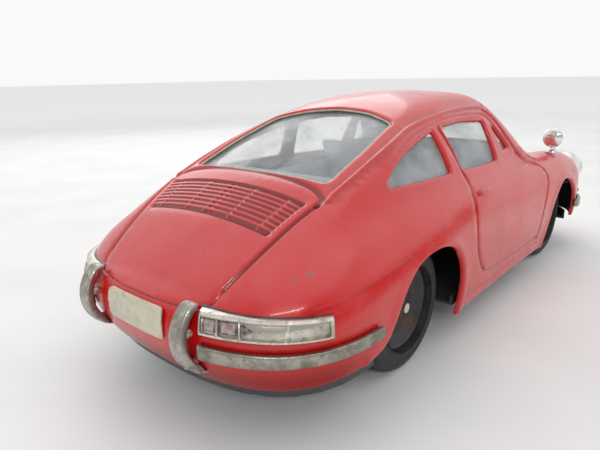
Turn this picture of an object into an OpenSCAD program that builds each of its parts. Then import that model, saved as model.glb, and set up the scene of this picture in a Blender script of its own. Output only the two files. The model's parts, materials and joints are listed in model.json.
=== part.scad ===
// Friction tin car: a pressed-tin rear-engined coupe with a flywheel motor on its rear axle.
// X points to the nose, Y to the car's left and Z up. The origin is on the floor under its middle.

/* [Body shell] */
// Thickness of the pressed tin shell
shell_t = 0.7; // [0.5:0.1:0.9]
// Height of the shell's lower edge between the wheels
sill_z = 10.5; // [10:0.5:12]
// Height of the shell's lower edge under the tail and nose
end_edge_z = 15.8; // [14:0.2:17]
// How much further the edge rises from the middle of the tail to the rear arches
corner_rise = 2.6; // [0:0.2:3]
// Widest reach of the wheel arches to each side of the axle
arch_half_w = 21.6; // [20.6:0.2:22.4]
// Height of the wheel arches above the axle
arch_h = 18.6; // [17.6:0.2:19.6]

/* [Wheels] */
// Outer radius of the tyres
tyre_r = 20; // [18:0.5:20]
// Width of the tyres
tyre_w = 11; // [9:0.5:12]
// Distance from the car's middle to the outer face of a tyre
tyre_face_y = 41.4; // [40:0.2:42]
// Place of the rear axle along the car
rear_axle_x = -60.5; // [-61:0.5:-60]
// Place of the front axle along the car
front_axle_x = 73.5; // [73:0.5:74]
// Radius of the axle wires
axle_r = 1.5; // [1.2:0.1:1.6]
// Radial clearance of a shaft in its bearing
running_gap = 0.06; // [0.04:0.01:0.08]

/* [Friction motor] */
// Tooth module of the gears
gear_m = 0.6; // [0.6:0.1:0.6]
// Teeth on the drive gear and the idler gear
gear_teeth = 36; // [34:2:38]
// Teeth on the two pinions
pinion_teeth = 12; // [12:1:12]
// Radius of the flywheel
flywheel_r = 12.5; // [11:0.5:12.5]
// Width of the flywheel
flywheel_w = 6; // [4:1:7]
// Radius of the idler and flywheel shafts
shaft_r = 1; // [0.8:0.1:1.2]
// Direction from the rear axle to the idler shaft, in degrees above the nose
idler_angle = 30; // [25:5:35]

/* [Base plate] */
// Height of the base plate's underside above the floor
base_z = 13.5; // [13:0.1:13.6]
// Thickness of the base plate and motor frames
plate_t = 0.8; // [0.6:0.1:1]

/* [Hidden] */

$fn = 48;
red = "firebrick";
chrome_c = "silver";
tin_c = "lightslategray";
rubber_c = [0.12, 0.12, 0.13];
glass_c = [0.75, 0.8, 0.8, 0.5];

// ---- Outer surface of the body -----------------------------------------------------------
// Heights and half widths at stations every 20 mm from the tail to the nose. They are the
// control values of smooth cubic splines.
station_x0 = -140;
station_pitch = 20;
roof_line = [22, 38.5, 54, 62.8, 70.2, 76.4, 80, 81, 79.9, 77, 73, 67, 60, 54, 48];
fender_line = [25, 38.5, 46.4, 51, 52.8, 53, 52.4, 51.4, 50.4, 50, 50, 50.4, 48.5, 35, 10];
hood_line = [25, 38.5, 46.4, 51, 52.8, 53, 52.8, 53, 53.5, 53, 50.4, 45.5, 38.5, 27, 8];
cabin_half_w = [24, 27, 31.5, 36, 38.4, 39, 38.8, 38.2, 37, 36, 35, 34, 32, 30, 28];
body_half_w = [47, 47.6, 47.8, 48, 48.2, 48, 47.6, 47.4, 47.4, 47.6, 47.8, 47.8, 47.4, 46.4, 45];

// Ends of the straight spine from which the surface is measured outwards
spine_rear = -84;
spine_front = 84;
// Where the plan outline starts to curve in, and how long each rounded end is
tail_start = -86;
tail_len = 40;
nose_start = 92;
nose_len = 33;
plan_power = 2.7;

function spline(c, x) =
    let (u = min(max((x - station_x0) / station_pitch, 1), len(c) - 2.001),
         i = floor(u),
         t = u - i,
         s = 1 - t)
    (c[i - 1] * s * s * s + c[i] * (3 * t * t * t - 6 * t * t + 4)
        + c[i + 1] * (3 * t - 3 * t * t * t + 3 * t * t + 1) + c[i + 2] * t * t * t) / 6;

// Larger of two values, rounded over where they differ by less than k
function round_max(a, b, k) =
    let (h = max(k - abs(a - b), 0) / k) max(a, b) + h * h * h * k / 6;
function round_min(a, b, k) = -round_max(-a, -b, k);
function ease(t) = let (c = min(max(t, 0), 1)) c * c * (3 - 2 * c);

// Each field is below zero inside the body and is close to a distance in millimetres
function side_field(x, y, z) =
    let (down = max(31 - z, 0),
         up = max(z - 33, 0),
         w = max(spline(body_half_w, x) - 0.006 * down * down - 0.0075 * up * up, 12),
         rear = max(tail_start - x, 0) / max(tail_len - 0.03 * down * down - 0.01 * up * up, 10),
         front = max(x - nose_start, 0) / max(nose_len - 0.02 * down * down - 0.012 * up * up, 10),
         p = pow(pow(rear + front, plan_power) + pow(abs(y) / w, plan_power), 1 / plan_power))
    (p - 1) * w * 0.9;

function deck_field(x, y, z) =
    let (ridge = ease((abs(y) - 14) / 22),
         shoulder = max(abs(y) - 34, 0),
         top = spline(hood_line, x) * (1 - ridge) + spline(fender_line, x) * ridge)
    (z - top + 0.012 * shoulder * shoulder) * 0.9;

function cabin_field(x, y, z) =
    let (crown = 0.0026 * y * y + 0.0000006 * y * y * y * y,
         rise = z - 56,
         flank = spline(cabin_half_w, x) - 0.4 * rise - 0.007 * max(rise, 0) * max(rise, 0),
         screen_x = 62 - 0.0085 * y * y - 1.38 * (z - 53))
    round_max(round_max((z - spline(roof_line, x) + crown) * 0.93, (abs(y) - flank) * 0.9, 7),
              (x - screen_x) * 0.587, 8);

function body_field(p) =
    round_max(side_field(p[0], p[1], p[2]),
              round_min(deck_field(p[0], p[1], p[2]), cabin_field(p[0], p[1], p[2]), 8), 14);

// Point on a ray where the field equals level, found by halving
function cast(o, d, level, lo = 4, hi = 92, steps = 15) =
    let (m = (lo + hi) / 2)
    steps == 0 ? o + d * m
        : body_field(o + d * m) < level ? cast(o, d, level, m, hi, steps - 1)
        : cast(o, d, level, lo, m, steps - 1);

// Lower edge of the shell: low between the wheels, higher under the nose and tail, and
// highest where the tail meets the rear arches. A column is [spine x, direction in plan].
function edge_z(c) =
    let (tail = ease((-58 - c[0]) / 20), nose = ease((c[0] - 62) / 20))
    sill_z + (end_edge_z - sill_z) * (tail + nose) + tail * corner_rise * pow(sin(c[1]), 6);

// Columns run once round the car, each as [spine x, direction in plan]
cap_cols = 11;
side_cols = 22;
rows = 20;
half_cols = 2 * cap_cols + side_cols;
columns = [
    for (i = [0:cap_cols - 1]) [spine_rear, 180 + 90 * i / cap_cols],
    for (i = [0:side_cols - 1]) [spine_rear + (spine_front - spine_rear) * i / side_cols, 270],
    for (i = [0:2 * cap_cols - 1]) [spine_front, 270 + 90 * i / cap_cols],
    for (i = [0:side_cols - 1]) [spine_front - (spine_front - spine_rear) * i / side_cols, 90],
    for (i = [0:cap_cols - 1]) [spine_rear, 90 + 90 * i / cap_cols]
];
top_angle = 88.5;

function column_point(c, angle, level) =
    cast([c[0], 0, edge_z(c)], [cos(angle) * cos(c[1]), cos(angle) * sin(c[1]), sin(angle)], level);

// Closed skin over rows of points that run once round the car
module closed_loops(loops, n, half) {
    m = len(loops);
    pts = [for (l = loops, p = l) p];
    walls = [for (r = [0:m - 2], i = [0:n - 1]) let (j = (i + 1) % n)
        each [[r * n + i, r * n + n + i, r * n + n + j], [r * n + i, r * n + n + j, r * n + j]]];
    // The first and last loops are closed by strips between mirrored columns
    bottom = [for (i = [0:half - 1]) let (a = i, b = i + 1, c = (n - i - 1) % n, d = (n - i) % n)
        each [[a, b, c], [a, c, d]]];
    last = (m - 1) * n;
    top = [for (f = bottom) [f[2] + last, f[1] + last, f[0] + last]];
    faces = [for (f = concat(walls, bottom, top)) if (f[0] != f[1] && f[1] != f[2] && f[2] != f[0]) f];
    polyhedron(pts, faces);
}

// Solid bounded by the body surface at one level, with its foot dropped by a given depth
module body_solid(level, drop) {
    loops = [for (r = [0:rows]) [for (c = columns) column_point(c, top_angle * r / rows, level)]];
    foot = [for (p = loops[0]) p - [0, 0, drop]];
    closed_loops(drop > 0 ? concat([foot], loops) : loops, len(columns), half_cols);
}

// Closed slab between two grids of points of the same size
module grid_slab(outer, inner) {
    ns = len(outer);
    nt = len(outer[0]);
    half = ns * nt;
    pts = concat([for (c = outer, p = c) p], [for (c = inner, p = c) p]);
    function at(i, j, k) = i * nt + j + k * half;
    skins = [for (i = [0:ns - 2], j = [0:nt - 2], k = [0, 1])
        let (q = [at(i, j, k), at(i + 1, j, k), at(i + 1, j + 1, k), at(i, j + 1, k)])
        each k == 0 ? [[q[0], q[1], q[2]], [q[0], q[2], q[3]]]
                    : [[q[2], q[1], q[0]], [q[3], q[2], q[0]]]];
    sides_s = [for (i = [0:ns - 2], j = [0, nt - 1])
        let (q = [at(i, j, 0), at(i + 1, j, 0), at(i + 1, j, 1), at(i, j, 1)])
        each j > 0 ? [[q[0], q[1], q[2]], [q[0], q[2], q[3]]]
                   : [[q[2], q[1], q[0]], [q[3], q[2], q[0]]]];
    sides_t = [for (j = [0:nt - 2], i = [0, ns - 1])
        let (q = [at(i, j, 0), at(i, j + 1, 0), at(i, j + 1, 1), at(i, j, 1)])
        each i == 0 ? [[q[0], q[1], q[2]], [q[0], q[2], q[3]]]
                    : [[q[2], q[1], q[0]], [q[3], q[2], q[0]]]];
    polyhedron(pts, concat(skins, sides_s, sides_t));
}

// ---- Shapes repeated on the car ----------------------------------------------------------
module along_y(x, z, y0, y1) {
    translate([x, y0, z]) rotate([-90, 0, 0]) linear_extrude(height = y1 - y0) children();
}

module disc_y(x, z, r, y0, y1) {
    translate([x, y0, z]) rotate([-90, 0, 0]) cylinder(r = r, h = y1 - y0);
}

// Trim strip that follows the body between two plan directions and two heights
module trim_band(angle0, angle1, z0, z1, inner_level, outer_level, steps = 12, levels = 2) {
    function grid(level) = [for (i = [0:steps])
        let (a = angle0 + (angle1 - angle0) * i / steps,
             lo = z0[0] + (z0[1] - z0[0]) * i / steps,
             hi = z1[0] + (z1[1] - z1[0]) * i / steps)
        [for (j = [0:levels])
            cast([abs(a - 180) < 90.1 ? spine_rear : spine_front, 0, lo + (hi - lo) * j / levels],
                 [cos(a), sin(a), 0], level)]];
    grid_slab(grid(outer_level), grid(inner_level));
}

module mirrored_y() {
    children();
    mirror([0, 1, 0]) children();
}

// ---- Body shell ---------------------------------------------------------------------------
quarter_window = [[-66, 57.2], [-64.5, 59], [-59, 62.4], [-50, 65.6], [-41, 67.7], [-33.5, 68.7],
    [-32.3, 67], [-30.6, 56.4], [-45, 56.3], [-62, 56.4]];
door_window = [[-25.8, 69.4], [-25, 70.2], [-8, 70.6], [11, 69.6], [12.6, 68.6], [24.5, 55],
    [10, 54.4], [-21.6, 55.6], [-22.6, 56.6]];
rear_window_outline = [[-81, 26], [-82.3, 24.6], [-83.2, 0], [-82.3, -24.6], [-81, -26],
    [-66, -26.2], [-48, -25], [-45.4, -23], [-41.6, -14], [-39, 0], [-41.6, 14], [-45.4, 23],
    [-48, 25], [-66, 26.2]];
windscreen_outline = [[57.5, 0], [54.5, -20], [50, -28.6], [48, -29.2], [33, -26.4], [31.8, -24.8],
    [34.6, -12], [35.4, 0], [34.6, 12], [31.8, 24.8], [33, 26.4], [48, 29.2], [50, 28.6], [54.5, 20]];

module window_cuts() {
    for (w = [quarter_window, door_window])
        translate([0, 60, 0]) rotate([90, 0, 0]) linear_extrude(height = 120) polygon(w);
    for (w = [rear_window_outline, windscreen_outline])
        translate([0, 0, 51]) linear_extrude(height = 40) polygon(w);
}

// Below the axle each arch runs on down to the shell's lower edge. The upper corners lie
// inside the round of the arch, so that the two shapes never share a point.
rear_arch_foot = [[23.3, 5], [22.9, 20], [-20.8, 24], [-25.7, 19.2], [-30.1, 18.4], [-31.5, 5]];
front_arch_foot = [[-21.5, 5], [-20.2, 22.5], [20.2, 22.5], [22.6, 16], [23, 5]];

module arch_cut(x, w, foot) {
    translate([x, 60, tyre_r]) rotate([90, 0, 0]) scale([w, arch_h, 1])
        cylinder(r = 1, h = 120, $fn = 56);
    translate([x, 60, 0]) rotate([90, 0, 0]) linear_extrude(height = 120) polygon(foot);
}

module body_shell() {
    // resize() with no new size keeps the whole pressing one skin
    color(red) resize([0, 0, 0]) difference() {
        body_solid(0, 0);
        body_solid(-shell_t, 8);
        window_cuts();
        arch_cut(rear_axle_x, arch_half_w, rear_arch_foot);
        arch_cut(front_axle_x, arch_half_w - 1, front_arch_foot);
        mirrored_y() at_lamp() cylinder(r = 9.1, h = 12, center = true);
    }
}

// Tin tongues of the shell, bent over the base plate
tab_places = [-30, 5, 40];
tab_w = 5;
tab_t = 0.4;
tab_y = 40.8;
tab_reach = 3.8;

module body_tabs() {
    color(red) for (x = tab_places) mirrored_y() {
        translate([x - tab_w / 2, tab_y, base_z + 0.02]) cube([tab_w, tab_reach, tab_t]);
    }
}

// ---- Base plate ---------------------------------------------------------------------------
rim_h = 3.2;
rim_inset = 2.6;
well_y = 27.5;
well_half_x = tyre_r + 3.5;

function plate_ring(inset) = [for (c = columns)
    let (p = cast([c[0], 0, base_z + rim_h], [cos(c[1]), sin(c[1]), 0], -inset)) [p[0], p[1]]];

module base_plate() {
    color([0.2, 0.2, 0.22]) difference() {
        union() {
            translate([0, 0, base_z]) linear_extrude(height = plate_t)
                polygon(plate_ring(rim_inset));
            // upturned rim
            translate([0, 0, base_z]) linear_extrude(height = rim_h) difference() {
                polygon(plate_ring(rim_inset));
                polygon(plate_ring(rim_inset + plate_t));
            }
        }
        for (x = [rear_axle_x, front_axle_x], s = [-1, 1])
            translate([x - well_half_x, s > 0 ? well_y : -well_y - 30, base_z - 5])
                cube([2 * well_half_x, 30, 20]);
        // pockets that take the shell's tongues flush with the underside
        for (x = tab_places) mirrored_y() {
            translate([x - tab_w / 2 - 0.2, tab_y - 0.2, base_z - 1]) cube([tab_w + 0.4, 8, 1.04 + tab_t]);
        }
        // slot for the drive gear
        translate([rear_axle_x - drive_slot_x, drive_gear_y0 - 1.5, base_z - 1])
            cube([2 * drive_slot_x, gear_w + 3, 3]);
    }
}

// ---- Windows ------------------------------------------------------------------------------
glass_outer = -1.25;
glass_inner = -1.8;

module vertical_glass(x0, x1, half_y, nx, ny, bow) {
    function grid(level) = [for (i = [0:nx]) [for (j = [0:ny])
        let (y = half_y * (2 * j / ny - 1), x = x0 + (x1 - bow * y * y - x0) * i / nx)
        cast([x, y, 30], [0, 0, 1], level)]];
    grid_slab(grid(glass_outer), grid(glass_inner));
}

module windscreen() {
    color(glass_c) vertical_glass(29, 59, 31, 8, 10, 0.0075);
}

module rear_window() {
    color(glass_c) vertical_glass(-85.5, -36.5, 27.4, 10, 8, 0);
}

module side_glass() {
    function grid(level) = [for (i = [0:16])
        let (x = -68.5 + 95.5 * i / 16, top = min(71.5, spline(roof_line, x) - 5.2))
        [for (j = [0:5]) cast([x, 0, 52.8 + (top - 52.8) * j / 5], [0, 1, 0], level)]];
    color(glass_c) grid_slab(grid(glass_inner), grid(glass_outer));
}

module side_window_left() side_glass();
module side_window_right() mirror([0, 1, 0]) side_glass();

// ---- Interior -----------------------------------------------------------------------------
tray_z = 41;
tray_half_y = 32.5;
tray_x0 = -69;
tray_x1 = 46;

module interior_tray() {
    color(tin_c) translate([tray_x0, -tray_half_y, tray_z]) difference() {
        cube([tray_x1 - tray_x0, 2 * tray_half_y, 10]);
        translate([plate_t, plate_t, plate_t])
            cube([tray_x1 - tray_x0 - 2 * plate_t, 2 * (tray_half_y - plate_t), 12]);
    }
}

// Side profile of a seat: a cushion and a raked back
module seat_profile(depth, back_h, rake) {
    hull() {
        translate([2, 3]) circle(r = 2);
        translate([depth - 2.5, 4.5]) circle(r = 2.5);
        translate([depth - 2, 2]) circle(r = 2);
        translate([2, 2]) circle(r = 2);
    }
    hull() {
        translate([1.5, 3]) circle(r = 2);
        translate([-rake, back_h - 2]) circle(r = 1.8);
    }
}

seat_z = tray_z + plate_t;

module front_seat(y) {
    color(tin_c) translate([-8, y + 11, seat_z]) rotate([90, 0, 0])
        linear_extrude(height = 22) seat_profile(26, 19.5, 6, $fn = 24);
}

module front_seat_left() front_seat(15.5);
module front_seat_right() front_seat(-15.5);

module rear_bench() {
    color(tin_c) translate([-58, 29, seat_z]) rotate([90, 0, 0])
        linear_extrude(height = 58) seat_profile(22, 15, 5, $fn = 24);
}

module dashboard() {
    color(tin_c) translate([0, 30, 0]) rotate([90, 0, 0]) linear_extrude(height = 60)
        polygon([[37, seat_z + 9], [44, seat_z + 9], [45, seat_z + 12], [41, 57], [37, 57.5], [35, 55]]);
}

wheel_tilt = 65;
wheel_at = [24, 15.5, 55.5];

module steering_wheel() {
    color([0.25, 0.25, 0.27]) translate(wheel_at) rotate([0, -wheel_tilt, 0]) {
        rotate_extrude() translate([8, 0]) circle(r = 0.8, $fn = 16);
        cylinder(r = 2, h = 1.6, center = true);
        for (a = [0, 120, 240]) rotate([0, 0, a]) translate([0, -0.6, -0.4]) cube([8, 1.2, 0.8]);
        translate([0, 0, -12.2]) cylinder(r = 1, h = 12);
    }
}

// ---- Rear trim ----------------------------------------------------------------------------
module rear_bumper() {
    color(chrome_c) trim_band(180 - 30.2, 180 - 86.2, [26.2, 25.0], [29.9, 28.0], 0.25, 1.9);
}

module rear_bumper_left() rear_bumper();
module rear_bumper_right() mirror([0, 1, 0]) rear_bumper();

// Upright horn that hooks over the bumper blade, seen from the side. Its inner outline
// follows the tail of the shell.
module overrider_profile() {
    difference() {
        translate([-119.4, 30.6]) scale([1, 1.05]) circle(r = 10);
        polygon([[-117, 10], [-120.2, 18], [-122.9, 22], [-124.5, 26], [-125, 29], [-124.9, 31.5],
            [-124.3, 34], [-123.2, 36], [-120.6, 38], [-118.2, 40], [-116, 41.4], [-100, 42], [-100, 10]]);
    }
}

module rear_overrider() {
    color(chrome_c) translate([0, 22.4, 0]) rotate([90, 0, 0])
        linear_extrude(height = 4.6) overrider_profile();
}

module rear_overrider_left() rear_overrider();
module rear_overrider_right() mirror([0, 1, 0]) rear_overrider();

module tail_lamp() {
    color(chrome_c) trim_band(180 - 30.4, 180 - 66, [32.4, 31.0], [37.2, 36.0], 0.2, 1.7);
}

module tail_lamp_left() tail_lamp();
module tail_lamp_right() mirror([0, 1, 0]) tail_lamp();

module number_plate() {
    color("beige") trim_band(180 - 15.4, 180 + 15.4, [27.4, 27.4], [35.2, 35.2], 0.2, 0.8, 8);
}

// ---- Front trim ---------------------------------------------------------------------------
module front_bumper() {
    color(chrome_c) trim_band(-82, 82, [20.5, 20.5], [25.5, 25.5], 0.25, 2.1, 30);
}

module front_overriders() {
    color(chrome_c) mirrored_y() translate([0, 23, 0]) rotate([90, 0, 0]) linear_extrude(height = 4.6)
        polygon([[123.2, 19], [125.4, 18.4], [128.6, 20.5], [129.5, 23.5], [128.8, 27.5], [126, 30.2],
            [123.6, 29.8], [124.6, 26.6], [124.6, 20]]);
}

lamp_tilt = 32;
lamp_at = [113, 35.5, 37.2];

module at_lamp() {
    translate(lamp_at) rotate([0, 90 - lamp_tilt, 4]) children();
}

module headlamp_rim() {
    color(chrome_c) at_lamp() rotate_extrude()
        polygon([[7.2, -3], [8.8, -3], [9.1, 2.2], [9.1, 3.4], [8.2, 4.4], [7.2, 4.1]]);
}

module headlamp_lens() {
    color(glass_c) at_lamp() rotate_extrude()
        polygon([[0, 2.4], [7.1, 2.4], [7.1, 3.6], [6, 4.4], [4.4, 5.2], [2.2, 5.8], [0, 6]]);
}

module headlamp_rim_left() headlamp_rim();
module headlamp_rim_right() mirror([0, 1, 0]) headlamp_rim();
module headlamp_lens_left() headlamp_lens();
module headlamp_lens_right() mirror([0, 1, 0]) headlamp_lens();

module front_indicators() {
    color("orange") mirrored_y() trim_band(36, 64, [26.2, 26.2], [28.4, 28.4], 0.2, 1.4, 6);
}

mirror_at = [77.7, 38.6];
mirror_head_z = 56.6;

module fender_mirror() {
    color(chrome_c) translate([mirror_at[0], mirror_at[1], 0]) {
        translate([0, 0, 50.2]) cylinder(r1 = 3.4, r2 = 1, h = 1.4);
        translate([0, 0, 50.8]) cylinder(r = 1, h = 3.4);
        translate([0, 0, mirror_head_z]) rotate([0, -90, 0]) rotate_extrude()
            polygon([[0, -2.4], [2, -2.1], [3.6, -1.2], [4.5, 0.4], [4.5, 1.4], [0, 1.4]]);
    }
}

module fender_mirror_left() fender_mirror();
module fender_mirror_right() mirror([0, 1, 0]) fender_mirror();

// ---- Gears --------------------------------------------------------------------------------
pressure_angle = 20;
gear_w = 2.6;
pinion_w = 3.4;
backlash = 0.12;
addendum = 0.8;
dedendum = 1.15;

function involute(base_r, r) =
    let (a = acos(min(base_r / r, 1))) tan(a) * 180 / PI - a;

// Half the angle that a tooth fills at radius r
function tooth_half_angle(n, r) =
    let (pitch_r = gear_m * n / 2,
         base_r = pitch_r * cos(pressure_angle))
    90 / n - backlash * 90 / (PI * pitch_r) + involute(base_r, pitch_r)
        - involute(base_r, max(r, base_r));

module gear_outline(n) {
    pitch_r = gear_m * n / 2;
    base_r = pitch_r * cos(pressure_angle);
    root_r = pitch_r - dedendum * gear_m;
    tip_r = pitch_r + addendum * gear_m;
    flank = [for (k = [0:3]) let (r = max(base_r, root_r)
        + (tip_r - max(base_r, root_r)) * k / 3) [r, tooth_half_angle(n, r)]];
    polygon([for (i = [0:n - 1]) let (a = 360 * i / n) each concat(
        [let (b = a - flank[0][1]) root_r * [cos(b), sin(b)]],
        [for (f = flank) f[0] * [cos(a - f[1]), sin(a - f[1])]],
        [for (k = [3:-1:0]) let (f = flank[k]) f[0] * [cos(a + f[1]), sin(a + f[1])]],
        [let (b = a + flank[0][1]) root_r * [cos(b), sin(b)]])]);
}

// Gear about the Y axis with a tooth, or a gap, pointing in a direction in the XZ plane
module gear_y(at, n, y0, w, bore_r, direction, gap = false) {
    translate([at[0], y0 + w, at[1]]) rotate([90, 0, 0]) difference() {
        linear_extrude(height = w) rotate(direction + (gap ? 180 / n : 0)) gear_outline(n);
        translate([0, 0, -1]) cylinder(r = bore_r, h = w + 2);
    }
}

// ---- Friction motor -----------------------------------------------------------------------
centre_distance = gear_m * (gear_teeth + pinion_teeth) / 2;
rear_axle_at = [rear_axle_x, tyre_r];
idler_at = rear_axle_at + centre_distance * [cos(idler_angle), sin(idler_angle)];
flywheel_at = idler_at + [centre_distance, 0];
frame_y = 8;
drive_gear_y0 = -3;
drive_slot_x = gear_m * gear_teeth / 2 + 1;
idler_gear_y0 = 3;
flywheel_y0 = frame_y + plate_t + 0.8;
bearing_axle_r = axle_r + running_gap;
bearing_shaft_r = shaft_r + running_gap;

// Side plate of the motor, with two feet turned inwards under the gears
module motor_frame(y0) {
    foot_z = base_z + plate_t;
    foot_w = 4.2;
    color("darkgray") difference() {
        union() {
            translate([0, y0 + plate_t, 0]) rotate([90, 0, 0]) linear_extrude(height = plate_t)
                polygon([[-71, foot_z], [-26, foot_z], [-26, 33], [-30, 36], [-44, 37.5],
                    [-64, 37.5], [-71, 33]]);
            for (x = [-70, -33])
                translate([x, y0 > 0 ? y0 + plate_t - foot_w : y0, foot_z])
                    cube([7, foot_w, plate_t]);
        }
        disc_y(rear_axle_at[0], rear_axle_at[1], bearing_axle_r, y0 - 1, y0 + plate_t + 1);
        for (s = [idler_at, flywheel_at])
            disc_y(s[0], s[1], bearing_shaft_r, y0 - 1, y0 + plate_t + 1);
        for (s = spacer_places) disc_y(s[0], s[1], 1, y0 - 1, y0 + plate_t + 1);
    }
}

module motor_frame_left() motor_frame(frame_y);
module motor_frame_right() motor_frame(-frame_y - plate_t);

spacer_places = [[-67.5, 33.8], [-38.5, 17], [-29, 32.5]];

module motor_spacers() {
    color("silver") for (s = spacer_places) disc_y(s[0], s[1], 1.6, -frame_y, frame_y);
}

module motor_rivets() {
    color("silver") for (s = spacer_places, side = [-1, 1]) {
        y0 = side > 0 ? frame_y : -frame_y - plate_t - 0.6;
        disc_y(s[0], s[1], 1, y0, y0 + plate_t + 0.6);
    }
}

module axle_wire(at, half_length) disc_y(at[0], at[1], axle_r, -half_length, half_length);

module rear_axle() color("goldenrod") axle_wire(rear_axle_at, tyre_face_y - 1.2);

module drive_gear() {
    color("silver") gear_y(rear_axle_at, gear_teeth, drive_gear_y0, gear_w, axle_r, idler_angle);
}

module idler_shaft() color("silver") disc_y(idler_at[0], idler_at[1], shaft_r, -9.4, 9.2);

module idler_pinion() {
    color("goldenrod") gear_y(idler_at, pinion_teeth, drive_gear_y0 - 0.4, pinion_w, shaft_r,
        idler_angle + 180, true);
}

module idler_gear() {
    color("silver") gear_y(idler_at, gear_teeth, idler_gear_y0, gear_w, shaft_r, 0);
}

module flywheel_shaft() {
    color("silver") disc_y(flywheel_at[0], flywheel_at[1], shaft_r, -9.4, flywheel_y0 + flywheel_w + 0.6);
}

module flywheel_pinion() {
    color("goldenrod") gear_y(flywheel_at, pinion_teeth, idler_gear_y0 - 0.4, pinion_w, shaft_r,
        180, true);
}

module flywheel() {
    color("dimgray") difference() {
        disc_y(flywheel_at[0], flywheel_at[1], flywheel_r, flywheel_y0, flywheel_y0 + flywheel_w);
        disc_y(flywheel_at[0], flywheel_at[1], shaft_r, flywheel_y0 - 1, flywheel_y0 + flywheel_w + 1);
        for (a = [0:60:300]) disc_y(flywheel_at[0] + 8 * cos(a), flywheel_at[1] + 8 * sin(a), 1.4,
            flywheel_y0 - 1, flywheel_y0 + flywheel_w + 1);
    }
}

// ---- Front axle and wheels ----------------------------------------------------------------
bracket_y = 22;
front_axle_at = [front_axle_x, tyre_r];

module front_axle_brackets() {
    foot_z = base_z + plate_t;
    color("darkgray") for (s = [-1, 1]) difference() {
        union() {
            translate([front_axle_x - 5, s * bracket_y - plate_t / 2, foot_z]) cube([10, plate_t, 12]);
            translate([front_axle_x - 5, s > 0 ? bracket_y - 6 : -bracket_y, foot_z])
                cube([10, 6, plate_t]);
        }
        disc_y(front_axle_x, tyre_r, bearing_axle_r, s * bracket_y - 2, s * bracket_y + 2);
    }
}

module front_axle() color("silver") axle_wire(front_axle_at, tyre_face_y - 1.2);

hub_r = 13.4;
hub_face = 2.2;
hub_t = 1;

// Wheel parts are drawn for the left side with the outer face at y = tyre_face_y
module tyre(at) {
    inner_y = tyre_face_y - tyre_w;
    color(rubber_c) translate([at[0], 0, at[1]]) rotate([-90, 0, 0]) rotate_extrude($fn = 72)
        polygon([[hub_r, inner_y + 1], [hub_r, tyre_face_y - 0.6], [hub_r + 0.6, tyre_face_y],
            [tyre_r - 1.8, tyre_face_y - 0.1], [tyre_r - 0.5, tyre_face_y - 1], [tyre_r, tyre_face_y - 2.4],
            [tyre_r, inner_y + 2], [tyre_r - 0.8, inner_y + 0.6], [tyre_r - 2.4, inner_y],
            [hub_r + 1, inner_y]]);
}

// Pressed disc with a central boss that grips the axle
module hub(at) {
    face = tyre_face_y - hub_face;
    color([0.16, 0.15, 0.15]) translate([at[0], 0, at[1]]) rotate([-90, 0, 0]) rotate_extrude($fn = 72)
        polygon([[axle_r, face - 5], [3, face - 5], [3, face - hub_t], [hub_r - 1, face - hub_t],
            [hub_r - 1, face - 7], [hub_r, face - 7], [hub_r, face], [5, face], [4, face + 0.5],
            [axle_r, face + 0.5]]);
}

module cap(at) {
    face = tyre_face_y - hub_face;
    color(chrome_c) translate([at[0], 0, at[1]]) rotate([-90, 0, 0]) rotate_extrude($fn = 72)
        polygon([[0, face + 1.1], [4, face + 1.1], [5.6, face + 0.1], [10.6, face + 0.1],
            [10.6, face + 0.5], [9.8, face + 1.1], [6.4, face + 1.6], [4.4, face + 2.6], [0, face + 3]]);
}

module front_tyre_left() tyre(front_axle_at);
module front_tyre_right() mirror([0, 1, 0]) tyre(front_axle_at);
module front_hub_left() hub(front_axle_at);
module front_hub_right() mirror([0, 1, 0]) hub(front_axle_at);
module front_cap_left() cap(front_axle_at);
module front_cap_right() mirror([0, 1, 0]) cap(front_axle_at);
module rear_tyre_left() tyre(rear_axle_at);
module rear_tyre_right() mirror([0, 1, 0]) tyre(rear_axle_at);
module rear_hub_left() hub(rear_axle_at);
module rear_hub_right() mirror([0, 1, 0]) hub(rear_axle_at);

body_shell();
base_plate();
windscreen();
rear_window();
side_window_left();
side_window_right();
interior_tray();
front_seat_left();
front_seat_right();
rear_bench();
dashboard();
steering_wheel();
rear_bumper_left();
rear_bumper_right();
rear_overrider_left();
rear_overrider_right();
tail_lamp_left();
tail_lamp_right();
number_plate();
front_bumper();
front_overriders();
headlamp_rim_left();
headlamp_rim_right();
headlamp_lens_left();
headlamp_lens_right();
front_indicators();
fender_mirror_left();
fender_mirror_right();
body_tabs();
motor_frame_left();
motor_frame_right();
motor_spacers();
motor_rivets();
front_axle_brackets();
front_axle();
front_tyre_left();
front_tyre_right();
front_hub_left();
front_hub_right();
front_cap_left();
front_cap_right();
rear_axle();
rear_tyre_left();
rear_tyre_right();
rear_hub_left();
rear_hub_right();
drive_gear();
idler_shaft();
idler_pinion();
idler_gear();
flywheel_shaft();
flywheel_pinion();
flywheel();
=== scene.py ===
import json
import math

import bmesh
import bpy
import numpy as np
from mathutils import Matrix, Vector
from mathutils.geometry import delaunay_2d_cdt


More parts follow.
